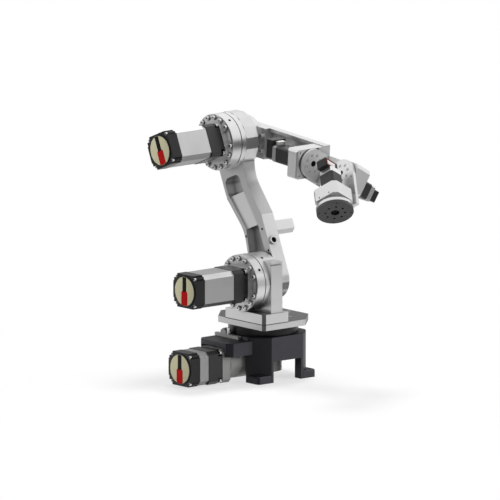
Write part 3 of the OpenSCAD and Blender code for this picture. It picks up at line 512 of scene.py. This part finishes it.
def round_edges(test, width, segments):
    """In edit mode, rounds the edges that pass the test."""
    pick_edges(test)
    bpy.ops.mesh.bevel(offset=width, segments=segments, affect="EDGES")


def pull(height):
    """In edit mode, extrudes the selection along Z."""
    bpy.ops.mesh.extrude_region_move(TRANSFORM_OT_translate={"value": (0, 0, height)})


def close_up():
    """In edit mode, merges the seam of a spun shape and turns its faces outwards."""
    pick_all()
    bpy.ops.mesh.remove_doubles(threshold=MERGE)
    bpy.ops.mesh.normals_make_consistent(inside=False)


def upright_section(width, height, middle):
    """In edit mode, a flat section that stands on Z = 0, so far from the axis it is spun about."""
    start_fresh()
    bpy.ops.mesh.primitive_plane_add(size=1)
    edit()
    bpy.ops.transform.resize(value=(width, height, 1))
    bpy.ops.transform.rotate(value=math.radians(90), orient_axis="X", center_override=(0, 0, 0))
    bpy.ops.transform.translate(value=(middle, 0, height / 2))
    pick_all()


def set_down(name, finish, body, slot, where=None):
    """Names the piece, moves it to its place, and lets it ride on its body."""
    if bpy.context.object.mode != "OBJECT":
        leave_edit()
    piece = bpy.context.object
    piece.name = name
    piece.data.name = name
    if where is not None:
        piece.matrix_world = where
    bpy.ops.object.transform_apply(location=True, rotation=True, scale=True)
    bpy.ops.object.shade_smooth_by_angle(angle=SMOOTH_ANGLE)
    piece.data.materials.clear()
    piece.data.materials.append(FINISH[finish])
    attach(piece, body)
    if slot is not None:
        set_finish(piece, slot)


def copies(master, names_and_places, body):
    """Copies a finished piece that was modelled at the origin, each copy with its own mesh."""
    for name, where in names_and_places:
        twin = bpy.data.objects.new(name, master.data.copy())
        bpy.context.scene.collection.objects.link(twin)
        twin.data.name = name
        twin.data.transform(where)
        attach(twin, body)
        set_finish(twin, master["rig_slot"])


def frame_at(origin, across, up):
    """The matrix of a flat frame whose X runs across and whose Z is the outward normal."""
    z = Vector(up).normalized()
    x = Vector(across)
    x = (x - x.dot(z) * z).normalized()
    y = z.cross(x)
    return Matrix.Translation(origin) @ Matrix((x, y, z)).transposed().to_4x4()


def reach(node_name, axis):
    """Lowest and highest place of a part along an axis."""
    solid = frame["nodes"][node_name]
    along = [(solid.matrix_world @ point.co).dot(axis) for point in solid.data.vertices]
    return min(along), max(along)


def reach_box(node_name):
    """Lowest and highest corner of a part."""
    spans = [reach(node_name, Vector(axis)) for axis in ((1, 0, 0), (0, 1, 0), (0, 0, 1))]
    return Vector([span[0] for span in spans]), Vector([span[1] for span in spans])


def turned(vector, angle, axis):
    """The vector turned about an axis."""
    return Matrix.Rotation(angle, 3, axis) @ Vector(vector)


# Frames of the moving parts

FOREARM = Vector((math.cos(FOREARM_PITCH), 0, -math.sin(FOREARM_PITCH)))
FOREARM_UP = Vector((math.sin(FOREARM_PITCH), 0, math.cos(FOREARM_PITCH)))
PITCH_LEVEL = Vector((0, 1, 0))
PITCH_AXIS = turned((0, 1, 0), -WRIST_ROLL, FOREARM)
TOOL = turned(FOREARM, WRIST_BEND, PITCH_AXIS)
TOOL_UP = TOOL.cross(PITCH_AXIS)
ROLL_FACE = ELBOW + ROLL_REACH * FOREARM
PITCH_CENTRE = ELBOW + PITCH_REACH * FOREARM


# Labels on the large motors' end caps

# The middle of each cap's outer face, how far the drive leans about Y, and the body it rides on
CAP_PLACES = {
    "base": (BASE_DRIVE + Vector((0, -0.2755, 0)), 0.0, "base"),
    "shoulder": (SHOULDER + Vector((0, -0.2935, 0)), 0.0, "turntable"),
    "elbow": (ELBOW + Vector((0, -0.2545, 0)), ARM_LEAN, "lower_arm"),
}
LABEL_R = 37.2 * MM
LABEL_T = 0.6 * MM
LABEL_RIM = 0.25 * MM
LABEL_SIDES = 96
MARK_T = 0.3 * MM
MARK_INSET = 0.5 * MM
PAST_RIM = 60 * MM
BAR_HALF = 7.2 * MM
BAR_FOOT = -1 * MM
FLAG_HALF = 11.8 * MM
FLAG_TOP = 0.5 * MM
FLAG_CORNER = 5 * MM
FLAG_SEGMENTS = 6
BEZEL_W = 2.6 * MM
BEZEL_H = 1.6 * MM
BEZEL_EDGE = 0.5 * MM
BEZEL_SINK = 0.6 * MM
BEZEL_STEPS = 72


def drive_across(lean):
    """The direction across a large drive's face."""
    return turned((1, 0, 0), -lean, Vector((0, 1, 0)))


def cap_frame(drive, lift=0.0):
    """The flat frame of an end cap's outer face, or so far above it."""
    centre, lean, _ = CAP_PLACES[drive]
    return frame_at(centre + Vector((0, -lift, 0)), drive_across(lean), (0, -1, 0))


def flat_disc(radius, thickness, sides):
    """In edit mode, a round disc that stands on Z = 0."""
    start_fresh()
    bpy.ops.mesh.primitive_circle_add(vertices=sides, radius=radius, fill_type="NGON")
    edit()
    pick_all()
    pull(thickness)


def label_disc(drive):
    """A cream disc with a softened rim, set in the cap's round face."""
    flat_disc(LABEL_R, LABEL_T, LABEL_SIDES)
    round_edges(at_height(LABEL_T), LABEL_RIM, SOFT_SEGMENTS)
    set_down(drive + "_cap_label", "label", CAP_PLACES[drive][2], None, cap_frame(drive))


def label_mark(drive, name, finish, half_width, low, high, corner):
    """A bar of the label: the disc cut to its width and length, with two soft corners."""
    start_fresh()
    bpy.ops.mesh.primitive_circle_add(vertices=LABEL_SIDES, radius=LABEL_R - MARK_INSET,
                                      fill_type="NGON")
    edit()
    for co, no in (((half_width, 0, 0), (1, 0, 0)), ((-half_width, 0, 0), (-1, 0, 0)),
                   ((0, high, 0), (0, 1, 0)), ((0, low, 0), (0, -1, 0))):
        pick_all()
        bpy.ops.mesh.bisect(plane_co=co, plane_no=no, clear_outer=True)
    pick_all()
    pull(MARK_T)
    if corner:
        round_edges(lambda a, b: abs(a.z - b.z) > MARK_T / 3 and a.y > high - CLOSE,
                    corner, FLAG_SEGMENTS)
    set_down(drive + name, finish, CAP_PLACES[drive][2], None, cap_frame(drive, LABEL_T))


def label_bezel(drive):
    """A black ring with a rounded section round the label, spun from its section."""
    upright_section(BEZEL_W, BEZEL_H, LABEL_R + BEZEL_W / 2)
    bpy.ops.mesh.bevel(offset=BEZEL_EDGE, segments=SOFT_SEGMENTS, affect="VERTICES")
    pick_all()
    bpy.ops.mesh.spin(steps=BEZEL_STEPS, angle=math.tau, center=(0, 0, 0), axis=(0, 0, 1))
    close_up()
    set_down(drive + "_cap_bezel", "black_plastic", CAP_PLACES[drive][2], "black_plastic",
             cap_frame(drive, -BEZEL_SINK))


for drive_name in CAP_PLACES:
    label_disc(drive_name)
    label_mark(drive_name, "_label_bar", "black_mark", BAR_HALF, BAR_FOOT, PAST_RIM, 0)
    label_mark(drive_name, "_label_flag", "red_mark", FLAG_HALF, -PAST_RIM, FLAG_TOP, FLAG_CORNER)
    label_bezel(drive_name)


# Screws

# Radius, height and socket width of the screw heads; the washer's two radii and thickness
RING_BOLT = (5.2 * MM, 6.4 * MM, 4.2 * MM)
CAP_SCREW = (3.9 * MM, 5 * MM, 4 * MM)
SMALL_SCREW = (3.2 * MM, 2.4 * MM, 2.6 * MM)
WASHER = (4.8 * MM, 6.4 * MM, 0.9 * MM)
WASHER_TURN = math.radians(350)
WASHER_STEPS = 24
HEAD_SIDES = 28
HEAD_EDGE = 0.5 * MM
HEAD_EDGE_SHARE = 1 / 5
# The socket's middle as a share of the head's height, and the share of its width that is inside
SOCKET_MIDDLE = 0.9
SOCKET_INSIDE = 0.56
HEAD_FOOT = 0.1 * MM
HEAD_TOP = 0.05 * MM

# The ring's face, the motor's front and the cap's bosses, in millimetres towards the caps
DRIVE_STATIONS = {"base": (None, 170, 268), "shoulder": (112, 120, 286), "elbow": (73, 81, 247)}
RING_COUNT = 16
RING_LEFT_OUT = (0, 8)
RING_R = 64 * MM
FRONT_HALF = 35.5 * MM
BOSS_HALF = 34.5 * MM
PLATE_COUNT = 6
PLATE_RING_R = 76 * MM
PLATE_TURN = math.radians(23)
PLATE_SINK = 2.5 * MM
FLANGE_COUNT = 8
FLANGE_RING_R = 22 * MM
ROLL_SINK = 2 * MM
BEND_SEAT = 10 * MM


def socket_screw(name, radius, height, socket, finish, slot):
    """A cap screw that stands on Z = 0: soft rim, hexagon socket cut into its head, the socket's
    inside painted black as its shade.
    """
    start_fresh()
    bpy.ops.mesh.primitive_cylinder_add(vertices=6, radius=socket / math.sqrt(3), depth=height,
                                        location=(0, 0, height * SOCKET_MIDDLE))
    cutter = bpy.context.object
    start_fresh()
    bpy.ops.mesh.primitive_cylinder_add(vertices=HEAD_SIDES, radius=radius, depth=height,
                                        location=(0, 0, height / 2))
    bpy.ops.object.transform_apply(location=True)
    screw = bpy.context.object
    edit()
    round_edges(at_height(height), min(HEAD_EDGE, radius * HEAD_EDGE_SHARE), SOFT_SEGMENTS)
    leave_edit()
    hole = screw.modifiers.new("socket", "BOOLEAN")
    hole.object = cutter
    hole.operation = "DIFFERENCE"
    bpy.ops.object.modifier_apply(modifier="socket")
    discard(cutter)
    screw.data.materials.clear()
    screw.data.materials.append(FINISH[finish])
    # Painted shade: the faces inside the socket take the black hole finish
    screw.data.materials.append(FINISH["hole_shade"])
    for face in screw.data.polygons:
        inside = math.hypot(face.center.x, face.center.y) < socket * SOCKET_INSIDE
        face.material_index = int(inside and HEAD_FOOT < face.center.z < height - HEAD_TOP)
    bpy.ops.object.shade_smooth_by_angle(angle=SMOOTH_ANGLE)
    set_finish(screw, slot)
    screw.name = name
    return screw


def spring_washer(name, inner, outer, thickness):
    """A black washer that lies on Z = 0: a flat section spun round, with a split; beneath a bolt
    it also gives the painted shadow round the head.
    """
    upright_section(outer - inner, thickness, (inner + outer) / 2)
    bpy.ops.mesh.spin(steps=WASHER_STEPS, angle=WASHER_TURN, center=(0, 0, 0), axis=(0, 0, 1))
    close_up()
    leave_edit()
    washer = bpy.context.object
    washer.data.materials.clear()
    washer.data.materials.append(FINISH["black_metal"])
    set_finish(washer, "black_metal")
    washer.name = name
    return washer


def discard(spare):
    """Removes a cutter, or a master once its copies are made."""
    bpy.data.objects.remove(spare)


def ring_places(name, count, radius, base, first=0.0):
    """Places round a ring in a flat frame, with their piece names."""
    for i in range(count):
        turn = first + i * math.tau / count
        spot = Matrix.Translation((radius * math.cos(turn), radius * math.sin(turn), 0))
        yield f"{name}_{i + 1}", base @ spot


def corner_places(name, half, base):
    """Places at the corners of a square in a flat frame, with their piece names."""
    for i, (x, y) in enumerate(((1, 1), (-1, 1), (-1, -1), (1, -1))):
        yield f"{name}_{i + 1}", base @ Matrix.Translation((x * half, y * half, 0))


def drive_frame(drive, station):
    """The flat frame of a large drive at so far along its axis, with its normal outwards."""
    centre, lean, _ = CAP_PLACES[drive]
    return frame_at(Vector((centre.x, -station * MM, centre.z)), drive_across(lean), (0, -1, 0))


ring_bolt = socket_screw("ring_bolt", *RING_BOLT, "bright", "bright_steel")
bolt_washer = spring_washer("bolt_washer", *WASHER)
cap_screw = socket_screw("cap_screw", *CAP_SCREW, "bright", "bright_steel")
for drive_name, (ring_face, front_face, boss_face) in DRIVE_STATIONS.items():
    body_name = CAP_PLACES[drive_name][2]
    if ring_face:
        ring = ring_places(drive_name + "_ring_bolt", RING_COUNT, RING_R,
                           drive_frame(drive_name, ring_face))
        ring = [place for i, place in enumerate(ring) if i not in RING_LEFT_OUT]
        copies(ring_bolt, ring, body_name)
        # Black washers beneath the ring bolts, which also give the painted shadow round each head
        under_bolts = [(name.replace("bolt", "washer"), where) for name, where in ring]
        copies(bolt_washer, under_bolts, body_name)
    front = drive_frame(drive_name, front_face)
    copies(ring_bolt, corner_places(drive_name + "_corner_bolt", FRONT_HALF, front), body_name)
    bosses = drive_frame(drive_name, boss_face)
    copies(cap_screw, corner_places(drive_name + "_cap_screw", BOSS_HALF, bosses), body_name)
discard(ring_bolt)
discard(bolt_washer)

plate_top = reach_box("bracket_block")[0].z
plate_ring = frame_at(Vector((0, 0, plate_top - PLATE_SINK)), (1, 0, 0), (0, 0, 1))
plate_spots = ring_places("plate_screw", PLATE_COUNT, PLATE_RING_R, plate_ring, PLATE_TURN)
copies(cap_screw, plate_spots, "turntable")
discard(cap_screw)

small_screw = socket_screw("small_screw", *SMALL_SCREW, "bright", "bright_steel")
roll_ring = frame_at(ROLL_FACE - ROLL_SINK * FOREARM, PITCH_AXIS, FOREARM)
roll_spots = ring_places("roll_flange_screw", FLANGE_COUNT, FLANGE_RING_R, roll_ring)
copies(small_screw, roll_spots, "wrist")
bend_ring = frame_at(PITCH_CENTRE + BEND_SEAT * PITCH_AXIS, TOOL, -PITCH_AXIS)
bend_spots = ring_places("tool_bracket_screw", FLANGE_COUNT, FLANGE_RING_R, bend_ring)
copies(small_screw, bend_spots, "tool_head")
discard(small_screw)


# Black plugs in the tapped holes and bores, as painted shade that stands for the shade inside the
# holes

PLUG_SIDES = 24
PLUG_RISE = 0.4 * MM
PLUG_SHANK = 1.2 * MM
PLUG_DISH = 0.6 * MM
PLUG_RIM_SHARE = 1 / 3
LIP = 1.0 * MM
ROLL_BORE_LIP = 1.6 * MM
BEND_BORE_LIP = 0.8 * MM
DRIVE_RIM_R = 72 * MM
OIL_HOLE_R = 2.45 * MM
TAP_R = 1.95 * MM
BORE_R = 5.9 * MM
STOP_SOCKET_R = 7.2 * MM
BEND_BORE_FACE = 8 * MM
# Oil holes: piece, drive, station in millimetres, turn in degrees, body
OIL_HOLES = (("shoulder_oil_hole_shade", "shoulder", 96.5, 34, "turntable"),
             ("upright_oil_hole_shade", "shoulder", 65, 63, "turntable"),
             ("elbow_oil_hole_shade", "elbow", 57.5, 34, "lower_arm"))
# On the lower arm, in millimetres across and along it, and in depth
ARM_TAPS = ((40, 122), (43, 65), (-29.2, 121))
STOP_SOCKET = (54, 87.5, -13.6)
# On the roll block's front: two holes near its top and bottom, two near the far side
BLOCK_ACROSS = 19 * MM
BLOCK_UP = 34 * MM
SIDE_UP = 15 * MM
SIDE_IN = 15 * MM


def hole_shade_plug(name, radius, place, outward, body, lip=0.0):
    """A black plug with a dished end, painted shade for the hole it fills: its lip lies on the
    surface, or without one it sits inside the hole."""
    flat_disc(radius + lip, PLUG_RISE, PLUG_SIDES)
    pick_faces(lambda normal: normal.z < -FLAT)
    if lip:
        bpy.ops.mesh.inset(thickness=lip)
    pull(-PLUG_SHANK)
    pick_top()
    bpy.ops.mesh.inset(thickness=radius * PLUG_RIM_SHARE)
    pull(-PLUG_DISH)
    across = (0, 0, 1) if abs(outward.z) < STEEP else (1, 0, 0)
    depth = 0 if lip else PLUG_DISH
    set_down(name, "hole_shade", body, None, frame_at(place - depth * outward, across, outward))


def rim_hole(drive, station, turn):
    """Place and direction of a hole in a large drive's rim."""
    base = drive_frame(drive, station)
    way = Vector((math.cos(turn), math.sin(turn), 0))
    return base @ (DRIVE_RIM_R * way), base.to_3x3() @ way


def on_arm(across, along, depth):
    """A place on the lower arm, across and along the line between its axes."""
    return SHOULDER + MM * (across * ARM_FRONT + along * ARM_UP + Vector((0, depth, 0)))


for hole_shade_name, drive_name, station, turn, body_name in OIL_HOLES:
    hole_shade_plug(hole_shade_name, OIL_HOLE_R, *rim_hole(drive_name, station, math.radians(turn)),
              body_name, LIP)
for i, (across, along) in enumerate(ARM_TAPS):
    hole_shade_plug(f"arm_tap_hole_shade_{i + 1}", TAP_R, on_arm(across, along, RIM_DEPTH), OUTER,
              "lower_arm", LIP)
hole_shade_plug("stop_socket_shade", STOP_SOCKET_R, on_arm(*STOP_SOCKET), ARM_FRONT, "lower_arm")
hole_shade_plug("roll_bore_shade", BORE_R, ROLL_FACE, FOREARM, "wrist", ROLL_BORE_LIP)
hole_shade_plug("bend_bore_shade", BORE_R, PITCH_CENTRE + BEND_BORE_FACE * PITCH_AXIS, -PITCH_AXIS,
          "tool_head", BEND_BORE_LIP)
roll_front = reach("roll_gear_block", FOREARM)[1] * FOREARM + ELBOW.dot(FOREARM_UP) * FOREARM_UP
far_side = reach("forearm_channel", PITCH_LEVEL)[1] - SIDE_IN
for i, (across, up) in enumerate(((BLOCK_ACROSS, BLOCK_UP), (BLOCK_ACROSS, -BLOCK_UP),
                                  (far_side, SIDE_UP), (far_side, -SIDE_UP))):
    hole_shade_plug(f"roll_block_hole_shade_{i + 1}", TAP_R,
              roll_front + across * PITCH_LEVEL + up * FOREARM_UP, FOREARM, "forearm", LIP)


# The dark strip beneath the bracket block: a painted shadow line in the joint

SHADOW_STRIP_EDGE = 0.5 * MM
SHADOW_STRIP_T = 1.6 * MM
SHADOW_STRIP_SINK = 0.8 * MM
BLOCK_CHAMFER = 7.5 * MM


def block_shadow_strip():
    """A thin dark strip in the joint beneath the bracket block, cut to its outline: a painted
    shadow line.
    """
    low, high = reach_box("bracket_block")
    width, length = high.x - low.x + 2 * SHADOW_STRIP_EDGE, high.y - low.y + 2 * SHADOW_STRIP_EDGE
    start_fresh()
    bpy.ops.mesh.primitive_plane_add(size=1)
    edit()
    bpy.ops.transform.resize(value=(width, length, 1))
    bpy.ops.transform.translate(value=((low.x + high.x) / 2, (low.y + high.y) / 2,
                                       low.z - SHADOW_STRIP_SINK))
    corner = (high.x - BLOCK_CHAMFER + SHADOW_STRIP_EDGE, low.y - SHADOW_STRIP_EDGE / 2, 0)
    bpy.ops.mesh.bisect(plane_co=corner, plane_no=(1, -1, 0), clear_outer=True)
    pick_all()
    pull(SHADOW_STRIP_T)
    set_down("bracket_block_shadow_strip", "black_metal", "turntable", "black_metal")


block_shadow_strip()


# Small motors: plugs at their end caps, and the bare plate on the tool motor

LEAD_PLUG = (22 * MM, 9 * MM, 13 * MM)
LEAD_PLUG_EDGE = 0.8 * MM
LEAD_PLUG_WALL = 1.6 * MM
LEAD_PLUG_HOLLOW = 3 * MM
LEAD_PLUG_DOWN = 7 * MM
PLATE_FRAME = (38 * MM, 20 * MM, 0.5 * MM)
PLATE_FACE = (29 * MM, 12 * MM, 0.8 * MM)
PLATE_EDGE = 0.15 * MM
PLATE_SHIFT = 3 * MM


def soft_box(size, edge):
    """In edit mode, a box that stands on Z = 0, with soft edges."""
    start_fresh()
    bpy.ops.mesh.primitive_cube_add(size=1, location=(0, 0, 0.5))
    bpy.ops.object.transform_apply(location=True)
    edit()
    pick_all()
    bpy.ops.transform.resize(value=size, center_override=(0, 0, 0))
    round_edges(lambda a, b: True, edge, SOFT_SEGMENTS)


def plug(name, cap, across, up, ahead, body):
    """A moulded plug with a hollow front that leaves a small end cap's overhang."""
    side = reach(cap, across)
    middle = (side[0] + side[1]) / 2
    start = reach(cap, ahead)[1]
    height = reach(cap, up)[1] - LEAD_PLUG_DOWN
    soft_box(LEAD_PLUG, LEAD_PLUG_EDGE)
    pick_top()
    bpy.ops.mesh.inset(thickness=LEAD_PLUG_WALL)
    pull(-LEAD_PLUG_HOLLOW)
    where = frame_at(middle * across + start * ahead + height * up, across, ahead)
    set_down(name, "white_plug", body, None, where)


def bare_plate(name, cap, across, up, ahead, body):
    """A pale plate without print in a dark frame, on the outside of a small end cap."""
    side = reach(cap, across)
    length = reach(cap, ahead)
    sideways = (side[0] + side[1]) / 2 - PLATE_SHIFT
    forward = (length[0] + length[1]) / 2
    place = sideways * across + forward * ahead + reach(cap, up)[1] * up
    where = frame_at(place, across, up)
    for ending, size, finish in (("_frame", PLATE_FRAME, "plate_frame"),
                                 ("_face", PLATE_FACE, "plate_face")):
        soft_box(size, PLATE_EDGE)
        set_down(name + ending, finish, body, None, where)


plug("roll_motor_plug", "roll_motor_cap", PITCH_LEVEL, FOREARM_UP, FOREARM, "forearm")
plug("tool_motor_plug", "tool_motor_cap", PITCH_AXIS, TOOL_UP, TOOL, "tool_head")
bare_plate("tool_motor_plate", "tool_motor_cap", PITCH_AXIS, TOOL_UP, TOOL, "tool_head")


# Studio

FLOOR_R = 1.2
FLOOR_SIDES = 96
FLOOR_TONE = 0.34
FLOOR_GLOW = 0.66
FLOOR_FADE = (0.30, 0.90)
SURROUND = 0.13
CARD_AWAY = 3.0
CARD_H = 3.0
CARD_MIDDLE = -0.45
# Cards: heading in degrees and tone. Lamps: place, width in metres and power in watts
CARDS = (("right_card", 50, 0.44), ("back_card", 140, 0.15),
         ("left_card", 230, 0.49), ("front_card", 320, 0.08))
LAMPS = (("top_softbox", (-0.15, 0.1, 2.6), 0.6, 44),
         ("right_softbox", (2.0, 2.2, 0.9), 2.0, 76),
         ("left_softbox", (-1.6, -2.1, 1.0), 1.6, 34))
LAMP_AIM = Vector((0, 0, 0.35))
VIEW_WIDTH = 1.2658
VIEW_AIM = Vector((-0.0655, 0.0113, 0.3129))
VIEW_AWAY = 4
VIEW_END = 50
VIEW_AROUND = math.radians(50)
VIEW_ABOVE = math.radians(10.4)


def either_ray(nodes, links):
    """One for the rays that show the background: straight, mirrored or seen through glass."""
    rays = nodes.new("ShaderNodeLightPath")
    seen = rays.outputs["Is Camera Ray"]
    for ray in ("Is Glossy Ray", "Is Transmission Ray"):
        either = nodes.new("ShaderNodeMath")
        either.operation = "MAXIMUM"
        links.new(seen, either.inputs[0])
        links.new(rays.outputs[ray], either.inputs[1])
        seen = either.outputs[0]
    return seen


def studio_floor():
    """A pale round floor that keeps the shadow near the arm and runs into the white round it."""
    start_fresh()
    bpy.ops.mesh.primitive_circle_add(vertices=FLOOR_SIDES, radius=FLOOR_R, fill_type="NGON")
    floor = bpy.context.object
    floor.name = "studio_floor"
    material = bpy.data.materials.new("pale_floor")
    material.use_nodes = True
    nodes, links = material.node_tree.nodes, material.node_tree.links
    nodes.clear()
    matte = nodes.new("ShaderNodeBsdfDiffuse")
    matte.inputs["Color"].default_value = (*grey(FLOOR_TONE), 1)
    glow = nodes.new("ShaderNodeEmission")
    glow.inputs["Strength"].default_value = FLOOR_GLOW
    white = nodes.new("ShaderNodeEmission")
    near = nodes.new("ShaderNodeAddShader")
    links.new(matte.outputs[0], near.inputs[0])
    links.new(glow.outputs[0], near.inputs[1])
    place = nodes.new("ShaderNodeTexCoord")
    distance = nodes.new("ShaderNodeVectorMath")
    distance.operation = "LENGTH"
    links.new(place.outputs["Object"], distance.inputs[0])
    away = between(nodes, links, distance.outputs["Value"], *FLOOR_FADE)
    shown = nodes.new("ShaderNodeMixShader")
    links.new(away, shown.inputs["Fac"])
    links.new(near.outputs[0], shown.inputs[1])
    links.new(white.outputs[0], shown.inputs[2])
    mix = nodes.new("ShaderNodeMixShader")
    output = nodes.new("ShaderNodeOutputMaterial")
    links.new(either_ray(nodes, links), mix.inputs["Fac"])
    links.new(matte.outputs[0], mix.inputs[1])
    links.new(shown.outputs[0], mix.inputs[2])
    links.new(mix.outputs[0], output.inputs["Surface"])
    floor.data.materials.append(material)


def studio_world():
    """White to the eye and in reflections, a soft even surround for the light."""
    world = bpy.data.worlds.new("studio_surround")
    bpy.context.scene.world = world
    world.use_nodes = True
    nodes, links = world.node_tree.nodes, world.node_tree.links
    nodes.clear()
    soft = nodes.new("ShaderNodeBackground")
    soft.inputs["Color"].default_value = (*grey(SURROUND), 1)
    white = nodes.new("ShaderNodeBackground")
    white.inputs["Color"].default_value = (*grey(1), 1)
    mix = nodes.new("ShaderNodeMixShader")
    output = nodes.new("ShaderNodeOutputWorld")
    links.new(either_ray(nodes, links), mix.inputs["Fac"])
    links.new(soft.outputs[0], mix.inputs[1])
    links.new(white.outputs[0], mix.inputs[2])
    links.new(mix.outputs[0], output.inputs["Surface"])


def grey_card(name, heading, tone):
    """A low wall of one tone that only reflections see, so that metal keeps its contrast."""
    start_fresh()
    bpy.ops.mesh.primitive_plane_add(size=1)
    card = bpy.context.object
    card.name = name
    out = Vector((math.cos(heading), math.sin(heading), 0))
    middle = CARD_AWAY * out + Vector((0, 0, CARD_MIDDLE))
    card.matrix_world = frame_at(middle, (-out.y, out.x, 0), -out)
    card.scale = (2 * CARD_AWAY, CARD_H, 1)
    bpy.ops.object.transform_apply(location=True, rotation=True, scale=True)
    cloth = bpy.data.materials.new(name + "_cloth")
    cloth.use_nodes = True
    nodes = cloth.node_tree.nodes
    nodes.clear()
    tint = nodes.new("ShaderNodeEmission")
    tint.inputs["Color"].default_value = (*grey(tone), 1)
    output = nodes.new("ShaderNodeOutputMaterial")
    cloth.node_tree.links.new(tint.outputs[0], output.inputs["Surface"])
    card.data.materials.append(cloth)
    card.visible_camera = False
    card.visible_diffuse = False
    card.visible_shadow = False
    card.visible_transmission = False


def soft_lamp(name, place, width, power):
    """A square soft lamp that looks at the arm and shows in no reflection."""
    data = bpy.data.lights.new(name, "AREA")
    data.shape = "RECTANGLE"
    data.size = data.size_y = width
    data.energy = power
    lamp = bpy.data.objects.new(name, data)
    bpy.context.scene.collection.objects.link(lamp)
    lamp.location = place
    lamp.rotation_mode = "QUATERNION"
    lamp.rotation_quaternion = (LAMP_AIM - Vector(place)).to_track_quat("-Z", "Y")
    lamp.visible_glossy = False


def studio_camera():
    """A parallel view, from round to the side of the motors' faces and a little above level."""
    data = bpy.data.cameras.new("photo_camera")
    data.type = "ORTHO"
    data.ortho_scale = VIEW_WIDTH
    data.clip_end = VIEW_END
    camera = bpy.data.objects.new("photo_camera", data)
    bpy.context.scene.collection.objects.link(camera)
    back = Vector((math.sin(VIEW_AROUND) * math.cos(VIEW_ABOVE),
                   -math.cos(VIEW_AROUND) * math.cos(VIEW_ABOVE), math.sin(VIEW_ABOVE)))
    camera.location = VIEW_AIM + VIEW_AWAY * back
    camera.rotation_mode = "QUATERNION"
    camera.rotation_quaternion = (-back).to_track_quat("-Z", "Y")
    bpy.context.scene.camera = camera


studio_floor()
studio_world()
for card_name, heading, tone in CARDS:
    grey_card(card_name, math.radians(heading), tone)
for lamp_name, place, width, power in LAMPS:
    soft_lamp(lamp_name, place, width, power)
studio_camera()
bpy.context.scene.view_settings.view_transform = "Standard"
